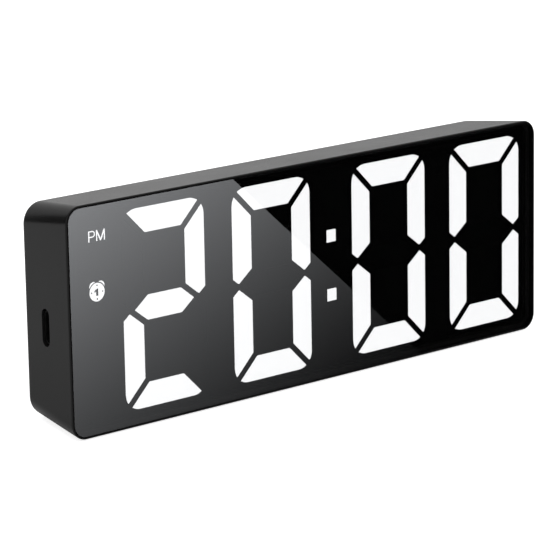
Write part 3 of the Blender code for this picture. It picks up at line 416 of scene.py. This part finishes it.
BAND = grained("cell_band", grey(0.50), grey(0.56), (0.25, 0.35), 800.0, 0.000002)
LEAD_RED = grained("lead_red", (0.38, 0.015, 0.012), (0.5, 0.03, 0.02), (0.35, 0.5), 1500.0, 0.00001)
LEAD_BLACK = grained("lead_black", grey(0.012), grey(0.02), (0.35, 0.5), 1500.0, 0.00001)
# Near-black: painted shade on the unlit bars and webs of the white plastic guides, and the dark print
# of the signs' films, numeral and marks
UNLIT_SHADE_AND_PRINT = grained(
    "guide_painted_shade_and_print", grey(0.001), grey(0.002), (0.6, 0.7), 1500.0, 0.00001, **{SPECULAR: 0.05}
)

LENS_IOR = 2.0
LENS_ALPHA = 0.60
FILM_ALPHA = 0.30
LIT_COLOUR = (0.985, 0.99, 1.0, 1.0)
LIT_LEVEL = 0.90
LIT_STRENGTH = LIT_LEVEL / ((1 - LENS_ALPHA) * (1 - FILM_ALPHA))


def lit_material(name, strength):
    """Milky white plastic lit from behind."""
    made = grained(name, grey(0.80), grey(0.86), (0.35, 0.45), 900.0, 0.00001)
    shader = made.node_tree.nodes["Principled BSDF"]
    set_sockets(shader, {"Emission Color": LIT_COLOUR, "Emission Strength": strength})
    return made


LIT = lit_material("guide_lit", LIT_STRENGTH)


def lens_material():
    """Smoked acrylic with a half-mirror coat."""
    made = grained(
        "smoked_lens", grey(0.002), grey(0.003), (0.015, 0.03), 400.0, 0.0, **{SPECULAR: 1.0}
    )
    set_sockets(made.node_tree.nodes["Principled BSDF"], {"Alpha": LENS_ALPHA, "IOR": LENS_IOR})
    return made


def film_material():
    """The tinted back of the lens, which dims what is behind it and doesn't shine."""
    made = grained(
        "lens_film", grey(0.0005), grey(0.001), (0.9, 1.0), 400.0, 0.0, **{SPECULAR: 0.0}
    )
    set_sockets(made.node_tree.nodes["Principled BSDF"], {"Alpha": FILM_ALPHA})
    return made


LENS = lens_material()
FILM = film_material()
LENS_EDGE = grained("lens_edge", grey(0.002), grey(0.003), (0.1, 0.15), 400.0, 0.0, **{SPECULAR: 0.1})


# Pieces


def finish_piece(name, bm, materials, replaced, body=BODY):
    """Closes a mesh drawn in the face frame, sets it on the clock and hides the CAD nodes it replaces.
    """
    bmesh.ops.recalc_face_normals(bm, faces=bm.faces)
    mesh = bpy.data.meshes.new(name)
    bm.to_mesh(mesh)
    bm.free()
    mesh.transform(FACE)
    made = bpy.data.objects.new(name, mesh)
    bpy.context.scene.collection.objects.link(made)
    for material in materials:
        mesh.materials.append(material)
    mesh.shade_smooth()
    mesh.set_sharp_from_angle(angle=SHARP_ANGLE)
    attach(made, body)
    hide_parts(*replaced)
    return made


def add_loft(bm, sections):
    """A closed solid through outlines of equal point count, each at its depth. It gives back the
    faces that close its two ends."""
    rings = [[bm.verts.new((x, depth, z)) for x, z in outline] for depth, outline in sections]
    for front, back in zip(rings, rings[1:]):
        for index in range(len(front)):
            after = (index + 1) % len(front)
            bm.faces.new((front[index], front[after], back[after], back[index]))
    first = bm.faces.new(rings[0])
    last = bm.faces.new(list(reversed(rings[-1])))
    return first, last


def add_slab(bm, outline, front, back):
    return add_loft(bm, [(front, outline), (back, outline)])


def carved(bm, cutters):
    """Takes the cutters, drawn in the same frame, out of a solid."""
    meshes = []
    for shape in [bm] + cutters:
        bmesh.ops.recalc_face_normals(shape, faces=shape.faces)
        mesh = bpy.data.meshes.new("carving")
        shape.to_mesh(mesh)
        shape.free()
        meshes.append(mesh)
    objects = [bpy.data.objects.new("carving", mesh) for mesh in meshes]
    for made in objects:
        bpy.context.scene.collection.objects.link(made)
    for cutter in objects[1:]:
        step = objects[0].modifiers.new("cut", "BOOLEAN")
        step.operation = "DIFFERENCE"
        step.solver = "EXACT"
        step.object = cutter
    graph = bpy.context.evaluated_depsgraph_get()
    result = bmesh.new()
    result.from_mesh(objects[0].evaluated_get(graph).to_mesh())
    for made in objects:
        bpy.data.objects.remove(made)
    for mesh in meshes:
        bpy.data.meshes.remove(mesh)
    return result


def cutter_loft(sections, matrix=None):
    bm = bmesh.new()
    add_loft(bm, sections)
    if matrix:
        bmesh.ops.transform(bm, matrix=matrix, verts=bm.verts)
    return bm


def grown(outline, distance):
    """A convex outline with each of its sides moved outwards by the same distance."""
    points = []
    for index, spot in enumerate(outline):
        here = Vector(spot)
        first = (here - Vector(outline[index - 1])).normalized()
        second = (Vector(outline[(index + 1) % len(outline)]) - here).normalized()
        outward = Vector((first.y, -first.x))
        normal = (outward + Vector((second.y, -second.x))).normalized()
        points.append(tuple(here + normal * distance / normal.dot(outward)))
    return points


# Along x instead of y, for what goes into the left side
LENGTHWAYS = Matrix.Rotation(-math.pi / 2, 4, "Z")
PORT_CHAMFER = 0.00005


def port_cutter():
    """The charging slot's opening, with a fine chamfer that follows the drafted side."""
    slot = stadium(PORT_WIDTH, PORT_LENGTH)
    side = TAPER * PORT_DEPTH / DEPTH - WIDTH / 2
    flare = grown(slot, PORT_CHAMFER + CUT_PAST)
    sections = [(side - CUT_PAST, flare), (side + PORT_CHAMFER, slot), (side + 3 * WALL, slot)]
    cutter = cutter_loft(sections, Matrix.Translation((0, PORT_DEPTH, PORT_Z)) @ LENGTHWAYS)
    for vert in cutter.verts:
        vert.co.x += (vert.co.y - PORT_DEPTH) * TAPER / DEPTH
    return cutter


def foot_cutter(depth):
    """The recess for a rubber strip, which is square to the floor and not to the face."""
    size = (WIDTH - 2 * FOOT_END + 2 * FINE_GAP, FOOT_WIDTH + 2 * FINE_GAP)
    high = FOOT_THICK - FOOT_PROUD + FINE_GAP
    flat = Matrix.Translation((0, depth, 0)) @ Matrix.Rotation(math.pi / 2, 4, "X")
    outline = stadium(*size)
    return cutter_loft([(-CUT_PAST, outline), (high, outline)], Matrix.Rotation(LEAN, 4, "X") @ flat)


# The shell's front edge is rounded a little more than the solid's
SOFT_FRONT_ROUND = 0.00030


def make_housing():
    """The drafted shell with its rounded edges, the lens's seat, the slot and the feet's recesses."""
    front, back = housing_steps(EDGE_STEPS, SOFT_FRONT_ROUND)
    held = [(front[-1][0] + HOLD, 0.0), (back[0][0] - HOLD, 0.0)]
    shell = bmesh.new()
    add_loft(shell, [(depth, body_outline(depth, inset)) for depth, inset in front + held + back])
    pocket = flat_outline(LENS_RIM)
    cavity = [(depth, body_outline(depth, WALL)) for depth in (LENS_THICK, DEPTH + CUT_PAST)]
    cutters = [
        cutter_loft([(-CUT_PAST, pocket), (MASK_FRONT, pocket)]),
        cutter_loft(cavity),
        port_cutter(),
        foot_cutter(FOOT_EDGE),
        foot_cutter(DEPTH - FOOT_EDGE),
    ]
    bm = carved(shell, cutters)
    return finish_piece("housing_shell", bm, [HOUSING], ["front_housing"])


def web_round(outlines):
    """The outline of the thin web that joins these shapes behind the mask."""
    across = [x for outline in outlines for x, _ in outline]
    along = [z for outline in outlines for _, z in outline]
    size = (
        max(across) - min(across) + 2 * GUIDE_MARGIN,
        max(along) - min(along) + 2 * GUIDE_MARGIN,
    )
    centre = ((min(across) + max(across)) / 2, (min(along) + max(along)) / 2)
    return rounded_rect(*size, WEB_CORNER, centre, SMALL_STEPS)


LENS_ROUND = 0.0001
LENS_HOLD = 0.00005


def make_lens():
    """The smoked panel: a polished rounded edge in front and a tinted film on its back."""
    edge = LENS_RIM + FINE_GAP
    sections = [(0.0, flat_outline(edge + LENS_ROUND + LENS_HOLD))]
    for rise, inset in round_over(LENS_ROUND):
        sections.append((rise, flat_outline(edge + inset)))
    sections.append((LENS_THICK, flat_outline(edge)))
    bm = bmesh.new()
    front, back = add_loft(bm, sections)
    front.material_index = 1
    back.material_index = 2
    return finish_piece("front_panel", bm, [LENS_EDGE, LENS, FILM], ["front_lens"])


def make_digit(number, corner, shown):
    """One digit: its lit bars, and its unlit bars on the web that carries them all, painted near-black
    as shade over their white plastic.
    """
    node = f"digit_guide_{number}"
    bars = {letter: moved(bar, corner) for letter, bar in digit_bars().items()}
    lit = bmesh.new()
    dark = bmesh.new()
    for letter, bar in bars.items():
        add_slab(lit if letter in shown else dark, bar, LAND_FRONT, WEB_FRONT)
    add_slab(dark, web_round(bars.values()), WEB_FRONT, WEB_BACK)
    finish_piece(f"digit_{number}_lit", lit, [LIT], [node])
    finish_piece(f"digit_{number}_unlit", dark, [UNLIT_SHADE_AND_PRINT], [node])


def make_colon():
    lit = bmesh.new()
    for dot in colon_dots():
        add_slab(lit, dot, LAND_FRONT, WEB_FRONT)
    finish_piece("colon_lit", lit, [LIT], ["colon_guide"])
    # The web is painted near-black as shade over its white plastic
    web = bmesh.new()
    add_slab(web, web_round(colon_dots()), WEB_FRONT, WEB_BACK)
    finish_piece("colon_web", web, [UNLIT_SHADE_AND_PRINT], ["colon_guide"])


# The two small signs, as plain capitals and a plain disc with two bells
SIGN_THICK = 0.00004
SIGN_FRONT = LAND_FRONT - SIGN_THICK
MARK_FRONT = SIGN_FRONT - SIGN_THICK
LETTERS_X = 0.00858
LETTERS_Z = 0.04962
LETTER_HEIGHT = 0.0028
LETTER_STROKE = 0.00027
LETTER_STEM = 0.00031
LETTER_P_WIDTH = 0.0021
LETTER_P_BOWL = 0.0017
LETTER_M_WIDTH = 0.00274
LETTER_M_DIP = 0.00195
LETTER_SPACE = 0.00038
DISC_DIAMETER = 0.00475
DISC_X = 0.0108
DISC_Z = 0.0366
BELL_INNER = 0.00268
BELL_REACH = 0.00314
BELL_TURN = math.radians(37.0)
BELL_HALF = math.radians(25.5)
NUMERAL_HEIGHT = 0.00185
NUMERAL_STEM = 0.00068
NUMERAL_FLAG = 0.0005
NUMERAL_NOTCH = 1.4 * NUMERAL_FLAG
MARK_SIZE = 0.00042
MARK_REACH = 0.00175


def letter_p():
    """The stem, and the bowl that meets it side to side."""
    radius = LETTER_P_BOWL / 2
    middle = (LETTER_P_WIDTH - radius, LETTER_HEIGHT - radius)
    stem = [(0.0, 0.0), (LETTER_STEM, 0.0), (LETTER_STEM, LETTER_HEIGHT), (0.0, LETTER_HEIGHT)]
    outer = arc(middle, radius, -math.pi / 2, math.pi / 2, END_STEPS)
    inner = arc(middle, radius - LETTER_STROKE, math.pi / 2, -math.pi / 2, END_STEPS)
    outer = [(LETTER_STEM, outer[0][1])] + outer + [(LETTER_STEM, outer[-1][1])]
    inner = [(LETTER_STEM, inner[0][1])] + inner + [(LETTER_STEM, inner[-1][1])]
    return [stem, outer + inner]


def letter_m():
    """Two stems and a V between them that reaches the foot of the letter."""
    half = LETTER_M_WIDTH / 2
    low = half - LETTER_STROKE / 2
    slope = LETTER_M_DIP / (low - LETTER_STEM)
    left = [(LETTER_STEM, LETTER_HEIGHT), (0.0, LETTER_HEIGHT), (0.0, 0.0), (LETTER_STEM, 0.0)]
    left += [(LETTER_STEM, LETTER_M_DIP), (low, 0.0)]
    notch = (half, LETTER_HEIGHT - (half - LETTER_STEM) * slope)
    return left + mirrored_x(left, LETTER_M_WIDTH) + [notch]


def bell(centre, side):
    """A cap over one shoulder of the disc, between an arc round the disc and a tighter one."""
    across = BELL_INNER * math.sin(BELL_HALF)
    along = BELL_INNER * math.cos(BELL_HALF)
    step = (BELL_REACH**2 - BELL_INNER**2) / (2 * (BELL_REACH - along))
    radius = BELL_REACH - step
    turn = math.pi / 2 - side * BELL_TURN
    half = math.atan2(across, along - step)
    cap = (centre[0] + step * math.cos(turn), centre[1] + step * math.sin(turn))
    outer = arc(cap, radius, turn - half, turn + half, 2 * END_STEPS)
    inner = arc(centre, BELL_INNER, turn + BELL_HALF, turn - BELL_HALF, END_STEPS)
    return outer + inner[1:-1]


def numeral_one(centre):
    low = -NUMERAL_HEIGHT / 2
    left = -NUMERAL_STEM / 2
    flag = [(0.0, -low), (left - NUMERAL_FLAG, -low - NUMERAL_FLAG)]
    flag += [(left - NUMERAL_FLAG, -low - 2 * NUMERAL_FLAG), (left, -low - NUMERAL_NOTCH)]
    return moved(flag + [(left, low), (-left, low), (-left, -low)], centre)


def make_signs():
    films = bmesh.new()
    # The windows' films are dark print; the web behind them is painted near-black as shade over its
    # white plastic
    for window in sign_windows():
        add_slab(films, window, LAND_FRONT, WEB_FRONT)
    add_slab(films, web_round(sign_windows()), WEB_FRONT, WEB_BACK)
    finish_piece("sign_films", films, [UNLIT_SHADE_AND_PRINT], ["sign_guide"])
    corner = (LETTERS_X - WIDTH / 2, LETTERS_Z)
    second = (corner[0] + LETTER_P_WIDTH + LETTER_SPACE, LETTERS_Z)
    lit = bmesh.new()
    for outline in letter_p():
        add_slab(lit, moved(outline, corner), SIGN_FRONT, LAND_FRONT)
    add_slab(lit, moved(letter_m(), second), SIGN_FRONT, LAND_FRONT)
    centre = (DISC_X - WIDTH / 2, DISC_Z)
    add_slab(lit, circle(DISC_DIAMETER, centre), SIGN_FRONT, LAND_FRONT)
    for side in (-1, 1):
        add_slab(lit, bell(centre, side), SIGN_FRONT, LAND_FRONT)
    finish_piece("signs_lit", lit, [LIT], ["sign_guide"])
    dark = bmesh.new()
    add_slab(dark, numeral_one(centre), MARK_FRONT, SIGN_FRONT)
    for turn in range(4):
        offset = (MARK_REACH * math.cos(turn * math.pi / 2), MARK_REACH * math.sin(turn * math.pi / 2))
        place = (centre[0] + offset[0], centre[1] + offset[1])
        add_slab(dark, circle(MARK_SIZE, place, MARK_STEPS), MARK_FRONT, SIGN_FRONT)
    finish_piece("signs_dark", dark, [UNLIT_SHADE_AND_PRINT], ["sign_guide"])


def boss_places():
    x = WIDTH / 2 - BOSS_EDGE
    return [(side * x, z) for side in (-1, 1) for z in (BOSS_EDGE, HEIGHT - BOSS_EDGE)]


SCREW_RIM = 0.00045
SCREW_SLOT = 0.00055
SCREW_CROSS = 0.0024
SCREW_TURN = math.radians(34.0)
DOME_ANGLE = math.radians(70.0)
DOME_STEPS = 8


def screw_sections():
    """A pan head on its shank, from the tip to the crown."""
    crown = DEPTH - COVER_HEAD_SUNK
    seat = crown - COVER_HEAD_HEIGHT
    sections = [(seat - COVER_SCREW_LENGTH, circle(COVER_SCREW)), (seat, circle(COVER_SCREW))]
    sections += [(seat, circle(COVER_HEAD))]
    for step in range(DOME_STEPS + 1):
        angle = DOME_ANGLE * step / DOME_STEPS
        rise = (COVER_HEAD_HEIGHT - SCREW_RIM) * math.sin(angle) / math.sin(DOME_ANGLE)
        sections.append((seat + SCREW_RIM + rise, circle(COVER_HEAD * math.cos(angle))))
    return sections


def make_screws():
    """The four cover screws, each with a cross recess that stopped at its own angle."""
    crown = DEPTH - COVER_HEAD_SUNK
    for number, (x, z) in enumerate(boss_places(), start=1):
        screw = cutter_loft(screw_sections())
        cross = []
        for turn in (number * SCREW_TURN, number * SCREW_TURN + math.pi / 2):
            slot = rectangle(SCREW_CROSS, SCREW_SLOT)
            sections = [(crown - SCREW_SLOT, slot), (crown + CUT_PAST, slot)]
            cross.append(cutter_loft(sections, Matrix.Rotation(turn, 4, "Y")))
        bm = carved(screw, cross)
        bmesh.ops.translate(bm, vec=(x, 0.0, z), verts=bm.verts)
        finish_piece(f"cross_screw_{number}", bm, [DARK_STEEL], [f"cover_screw_{number}"])


# The cells: bare ends inside the sleeve's rolled edges, as (place along it, diameter)
NUB_LENGTH = 0.0010
CELL_WAIST = 0.0087
CELL_FLAT_END = [(0.0, 0.0070), (0.0002, 0.0076), (0.0002, 0.0085)]
CELL_CURVE = [(0.0001, 0.0089), (0.00015, 0.0096), (0.0004, 0.0101), (0.0009, CELL_DIAMETER)]
CELL_NUB_FOOT = [(-0.0002, 0.0085), (-0.0002, 0.0048), (0.0, 0.0041)]
CELL_NUB_TOP = [(-0.0002, 0.0038), (0.0, 0.0033)]
BAND_START = 0.0048
BAND_END = 0.0032


def cell_rings(length):
    """A cell's rings, from its flat end to the top of its nub."""
    shoulder = length - NUB_LENGTH
    rings = CELL_FLAT_END + CELL_CURVE
    rings += [(shoulder - place, CELL_DIAMETER) for place in (BAND_START, BAND_END)]
    rings += [(shoulder - place, across) for place, across in reversed(CELL_CURVE)]
    rings += [(shoulder + place, across) for place, across in CELL_NUB_FOOT]
    return rings + [(length + place, across) for place, across in CELL_NUB_TOP]


def make_cells():
    """Three cells in their sleeves, with bare ends, each turned the other way from its neighbour."""
    for number in (1, 2, 3):
        node = f"battery_cell_{number}"
        low, high = (Vector(corner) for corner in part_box(node))
        length = high.x - low.x
        side = -1 if number % 2 else 1
        bm = bmesh.new()
        add_loft(bm, [(place, circle(across)) for place, across in cell_rings(length)])
        band = length - NUB_LENGTH - (BAND_START + BAND_END) / 2
        for face in bm.faces:
            spot = face.calc_center_median()
            bare = math.hypot(spot.x, spot.z) < CELL_WAIST / 2
            banded = abs(spot.y - band) < (BAND_START - BAND_END) / 3
            face.material_index = 0 if bare else 2 if banded else 1
        middle = FACE.inverted() @ ((low + high) / 2)
        place = Matrix.Translation((middle.x - side * length / 2, middle.y, middle.z))
        turn = Matrix.Rotation(-side * math.pi / 2, 4, "Z")
        bmesh.ops.transform(bm, matrix=place @ turn, verts=bm.verts)
        finish_piece(f"sleeved_cell_{number}", bm, [STEEL, SLEEVE, BAND], [node])


# Stage


def stage_object(name, vertices, faces, material, matrix):
    mesh = bpy.data.meshes.new(name)
    mesh.from_pydata(vertices, [], faces)
    mesh.materials.append(material)
    made = bpy.data.objects.new(name, mesh)
    made.matrix_world = matrix
    bpy.context.scene.collection.objects.link(made)
    return made


def only_in_reflections(card):
    card.visible_camera = False
    card.visible_diffuse = False
    card.visible_transmission = False
    card.visible_volume_scatter = False
    card.visible_shadow = False


FLOOR_SIZE = 6.0
FLOOR_DARK = 0.90
FLOOR_LIGHT = 0.94
FLOOR_ROUGHNESS = 0.95
FLOOR_GLOW = 0.80
FLOOR_GRAIN = 30.0


def floor_material():
    """White paper: a glow that only the camera sees is added to its lit surface, so the open
    floor is plain white and the object's own shadow stays."""
    made, tree, shader = new_material("floor_paper")
    grain = noise(tree, FLOOR_GRAIN)
    tone = blend_colours(tree, grain, grey(FLOOR_DARK), grey(FLOOR_LIGHT))
    tree.links.new(tone, shader.inputs["Base Color"])
    set_sockets(shader, {"Roughness": FLOOR_ROUGHNESS, SPECULAR: 0.0})
    seen = add_node(tree, "ShaderNodeLightPath").outputs["Is Camera Ray"]
    share = add_node(tree, "ShaderNodeMath", operation="MULTIPLY")
    tree.links.new(seen, share.inputs[0])
    share.inputs[1].default_value = FLOOR_GLOW
    glow = add_node(tree, "ShaderNodeEmission", {"Strength": share.outputs[0]})
    both = add_node(tree, "ShaderNodeAddShader")
    tree.links.new(shader.outputs[0], both.inputs[0])
    tree.links.new(glow.outputs[0], both.inputs[1])
    tree.links.new(both.outputs[0], tree.nodes["Material Output"].inputs["Surface"])
    return made


def make_floor():
    half = FLOOR_SIZE / 2
    corners = [(-half, -half, 0), (half, -half, 0), (half, half, 0), (-half, half, 0)]
    stage_object("floor", corners, [(0, 1, 2, 3)], floor_material(), Matrix())


AMBIENT = 0.55
SHINE = 0.585


def make_world():
    """White where the camera sees it, grey in reflections and a plain light elsewhere."""
    world = bpy.data.worlds.new("studio")
    bpy.context.scene.world = world
    world.use_nodes = True
    tree = world.node_tree
    background = tree.nodes["Background"]
    background.inputs["Color"].default_value = (1.0, 1.0, 1.0, 1.0)
    path = add_node(tree, "ShaderNodeLightPath")
    strength = None
    levels = {"Is Glossy Ray": SHINE, "Is Transmission Ray": 1.0, "Is Camera Ray": 1.0}
    for name, level in levels.items():
        step = add_node(tree, "ShaderNodeMapRange", {"Value": path.outputs[name]})
        set_sockets(step, {"To Min": AMBIENT, "To Max": level})
        if strength:
            tree.links.new(strength, step.inputs["To Min"])
        strength = step.outputs["Result"]
    tree.links.new(strength, background.inputs["Strength"])


# What the polished panel reflects: a softly graded card with a straight slanted end. Its level
# rises with the height, falls along the face and is held between a least and a most
CARD_DISTANCE = 0.003
CARD_GAIN = 6.66
CARD_TINT = (0.975, 0.995, 1.03, 1.0)
CARD_SLANT_TOP = (-0.0286, 0.0595)
CARD_SLANT_BOTTOM = (0.0369, 0.00165)
CARD_BASE = 0.303
CARD_RISE = 4.27
CARD_FALL = 1.84
CARD_POWER = 2.4
CARD_LEAST = 0.05
CARD_MOST = 0.57
CARD_LEFT = 0.001
CARD_RIGHT = 0.008
CARD_OVER = 0.001
CARD_UNDER = 0.005


def card_material():
    made = bpy.data.materials.new("card_graded")
    made.use_nodes = True
    tree = made.node_tree
    tree.nodes.clear()
    place = add_node(tree, "ShaderNodeTexCoord").outputs["Object"]
    parts = add_node(tree, "ShaderNodeSeparateXYZ", {"Vector": place})
    rise = add_node(tree, "ShaderNodeMath", operation="MULTIPLY_ADD")
    tree.links.new(parts.outputs["Z"], rise.inputs[0])
    rise.inputs[1].default_value = CARD_RISE
    rise.inputs[2].default_value = CARD_BASE - CARD_FALL * WIDTH / 2
    fall = add_node(tree, "ShaderNodeMath", operation="MULTIPLY_ADD")
    tree.links.new(parts.outputs["X"], fall.inputs[0])
    fall.inputs[1].default_value = -CARD_FALL
    tree.links.new(rise.outputs[0], fall.inputs[2])
    level = add_node(tree, "ShaderNodeClamp", {"Value": fall.outputs[0]})
    set_sockets(level, {"Min": CARD_LEAST, "Max": CARD_MOST})
    power = add_node(tree, "ShaderNodeMath", operation="POWER")
    tree.links.new(level.outputs[0], power.inputs[0])
    power.inputs[1].default_value = CARD_POWER
    gain = add_node(tree, "ShaderNodeMath", operation="MULTIPLY")
    tree.links.new(power.outputs[0], gain.inputs[0])
    gain.inputs[1].default_value = CARD_GAIN
    glow = add_node(tree, "ShaderNodeEmission", {"Strength": gain.outputs[0]}, Color=CARD_TINT)
    output = add_node(tree, "ShaderNodeOutputMaterial")
    tree.links.new(glow.outputs[0], output.inputs["Surface"])
    return made


def black_material():
    made = bpy.data.materials.new("card_black")
    made.use_nodes = True
    tree = made.node_tree
    tree.nodes.clear()
    glow = add_node(tree, "ShaderNodeEmission", Strength=0.0)
    output = add_node(tree, "ShaderNodeOutputMaterial")
    tree.links.new(glow.outputs[0], output.inputs["Surface"])
    return made


FLAG_STEP = 0.001
STRIP_DIRECTION = Vector((-0.62, 0.785, 0.0))
STRIP_DISTANCE = 0.05
STRIP_HALF_WIDTH = 0.025
STRIP_LOW = 0.0440
STRIP_HIGH = 0.0942


def make_cards(lens):
    """Cards that only reflections see: the graded one stands where the camera sees it mirrored in
    the panel, a black one fills the rest of that view, and a small black strip behind the left end
    gives the dark line along its rounded corner."""
    share = CARD_DISTANCE / -CAMERA_PLACE.y
    shift = Vector((-share * CAMERA_PLACE.x, -CARD_DISTANCE, -share * CAMERA_PLACE.z))
    matrix = FACE @ Matrix.Translation(shift) @ Matrix.Scale(1 + share, 4)
    slope = (CARD_SLANT_BOTTOM[0] - CARD_SLANT_TOP[0]) / (CARD_SLANT_BOTTOM[1] - CARD_SLANT_TOP[1])
    low = -CARD_UNDER
    high = HEIGHT + CARD_OVER
    left = -WIDTH / 2 - CARD_LEFT
    right = WIDTH / 2 + CARD_RIGHT
    slant_low = CARD_SLANT_TOP[0] + (low - CARD_SLANT_TOP[1]) * slope
    slant_high = CARD_SLANT_TOP[0] + (high - CARD_SLANT_TOP[1]) * slope
    graded = [(left, 0, low), (slant_low, 0, low), (slant_high, 0, high), (left, 0, high)]
    card = stage_object("graded_card", graded, [(0, 1, 2, 3)], card_material(), matrix)
    flat = [(left, -FLAG_STEP, low), (right, -FLAG_STEP, low)]
    flat += [(right, -FLAG_STEP, high), (left, -FLAG_STEP, high)]
    black = black_material()
    flag = stage_object("black_card", flat, [(0, 1, 2, 3)], black, matrix)
    across = STRIP_DIRECTION.cross(Vector((0, 0, 1))).normalized() * STRIP_HALF_WIDTH
    middle = Vector((-WIDTH / 2, 0, 0)) + STRIP_DIRECTION.normalized() * STRIP_DISTANCE
    foot = middle + Vector((0, 0, STRIP_LOW))
    head = middle + Vector((0, 0, STRIP_HIGH))
    upright = [foot - across, foot + across, head + across, head - across]
    strip = stage_object("black_strip", [tuple(v) for v in upright], [(0, 1, 2, 3)], black, Matrix())
    for made in (card, flag, strip):
        only_in_reflections(made)
    receivers = bpy.data.collections.new("card_receivers")
    receivers.objects.link(lens)
    card.light_linking.receiver_collection = receivers


# Soft area lamps: name, place, size and power. All of them are aimed at the same spot
LAMP_TARGET = (0.0, 0.0, 0.03)
LAMPS = [
    ("key", (-0.5, -0.7, 1.0), (0.8, 0.8), 3.2),
    ("fill", (0.9, -0.5, 0.7), (0.7, 0.7), 1.8),
    ("rear", (0.2, 0.9, 0.9), (0.9, 0.5), 1.4),
]


def add_lamp(name, place, size, power):
    light = bpy.data.lights.new(name, "AREA")
    light.shape = "RECTANGLE"
    light.size, light.size_y = size
    light.energy = power
    lamp = bpy.data.objects.new(name, light)
    direction = Vector(LAMP_TARGET) - Vector(place)
    lamp.matrix_world = Matrix.LocRotScale(place, direction.to_track_quat("-Z", "Y"), None)
    bpy.context.scene.collection.objects.link(lamp)


def make_lamps():
    for name, place, size, power in LAMPS:
        add_lamp(name, place, size, power)


def make_camera():
    azimuth = CAMERA_AZIMUTH
    level = math.cos(CAMERA_ELEVATION)
    ahead = Vector((math.sin(azimuth) * level, math.cos(azimuth) * level, -math.sin(CAMERA_ELEVATION)))
    right = Vector((math.cos(azimuth), -math.sin(azimuth), 0.0))
    down = ahead.cross(right)
    across = right * math.cos(CAMERA_ROLL) + down * math.sin(CAMERA_ROLL)
    below = down * math.cos(CAMERA_ROLL) - right * math.sin(CAMERA_ROLL)
    turned = Matrix((across, -below, -ahead)).transposed().to_4x4()
    data = bpy.data.cameras.new("camera")
    data.lens = CAMERA_LENS
    data.sensor_width = SENSOR
    data.clip_start = CLIP_START
    camera = bpy.data.objects.new("camera", data)
    camera.matrix_world = FACE @ Matrix.Translation(CAMERA_PLACE) @ turned
    bpy.context.scene.collection.objects.link(camera)
    bpy.context.scene.camera = camera


# Materials of the carried-over nodes, by the start of their names
NODE_MATERIALS = [
    ("rear_cover", COVER),
    ("battery_door", COVER),
    ("lens_tape", TAPE),
    ("segment_mask", MASK),
    ("display_board", BOARD),
    ("charging_board", BOARD),
    ("driver_chip", CHIP),
    ("clock_crystal", STEEL),
    ("buzzer", CHIP),
    ("usb_socket", SOCKET_STEEL_PAINTED_SHADE),
    ("usb_tongue", CHIP),
    ("button_", BUTTON),
    ("plunger_", PLUNGER),
    ("switch_", CHIP),
    ("battery_spring", STEEL),
    ("battery_plate", STEEL),
    ("battery_link", STEEL),
    ("battery_lead_positive", LEAD_RED),
    ("battery_lead_negative", LEAD_BLACK),
    ("board_screw", DARK_STEEL),
    ("front_foot", RUBBER),
    ("rear_foot", RUBBER),
]


# The edges of the carried-over nodes are rounded by this much, by the start of their names
NODE_ROUNDS = [
    ("rear_cover", 0.00015),
    ("battery_door", 0.00015),
    ("button_", 0.00015),
]
PLANE_ANGLE = math.radians(0.5)
NODE_ROUND_STEPS = 2


def soften(node, radius):
    """Rounds a node's edges with modifiers, which leave its own mesh as it is."""
    flat = node.modifiers.new("planes", "DECIMATE")
    flat.decimate_type = "DISSOLVE"
    flat.angle_limit = PLANE_ANGLE
    round_edge = node.modifiers.new("edges", "BEVEL")
    round_edge.limit_method = "ANGLE"
    round_edge.angle_limit = SHARP_ANGLE
    round_edge.width = radius
    round_edge.segments = NODE_ROUND_STEPS
    round_edge.harden_normals = True


def dress_nodes(nodes):
    for name, node in nodes.items():
        for start, material in NODE_MATERIALS:
            if name.startswith(start):
                for spot in node.material_slots:
                    spot.material = material
        for start, radius in NODE_ROUNDS:
            if name.startswith(start):
                soften(node, radius)


bpy.context.scene.view_settings.view_transform = "Standard"
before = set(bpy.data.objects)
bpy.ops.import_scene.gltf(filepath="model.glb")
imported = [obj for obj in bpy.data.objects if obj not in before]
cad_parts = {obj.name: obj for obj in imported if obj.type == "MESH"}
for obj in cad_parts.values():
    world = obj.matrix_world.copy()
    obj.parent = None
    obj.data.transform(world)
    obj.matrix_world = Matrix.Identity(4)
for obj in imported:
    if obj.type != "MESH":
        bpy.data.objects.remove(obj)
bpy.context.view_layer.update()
make_camera()
make_world()
make_floor()
make_lamps()
dress_nodes(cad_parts)
make_housing()
panel = make_lens()
for digit_number, (digit_corner, digit_shown) in enumerate(zip(digit_corners(), SHOWN), start=1):
    make_digit(digit_number, digit_corner, digit_shown)
make_colon()
make_signs()
make_screws()
make_cells()
make_cards(panel)
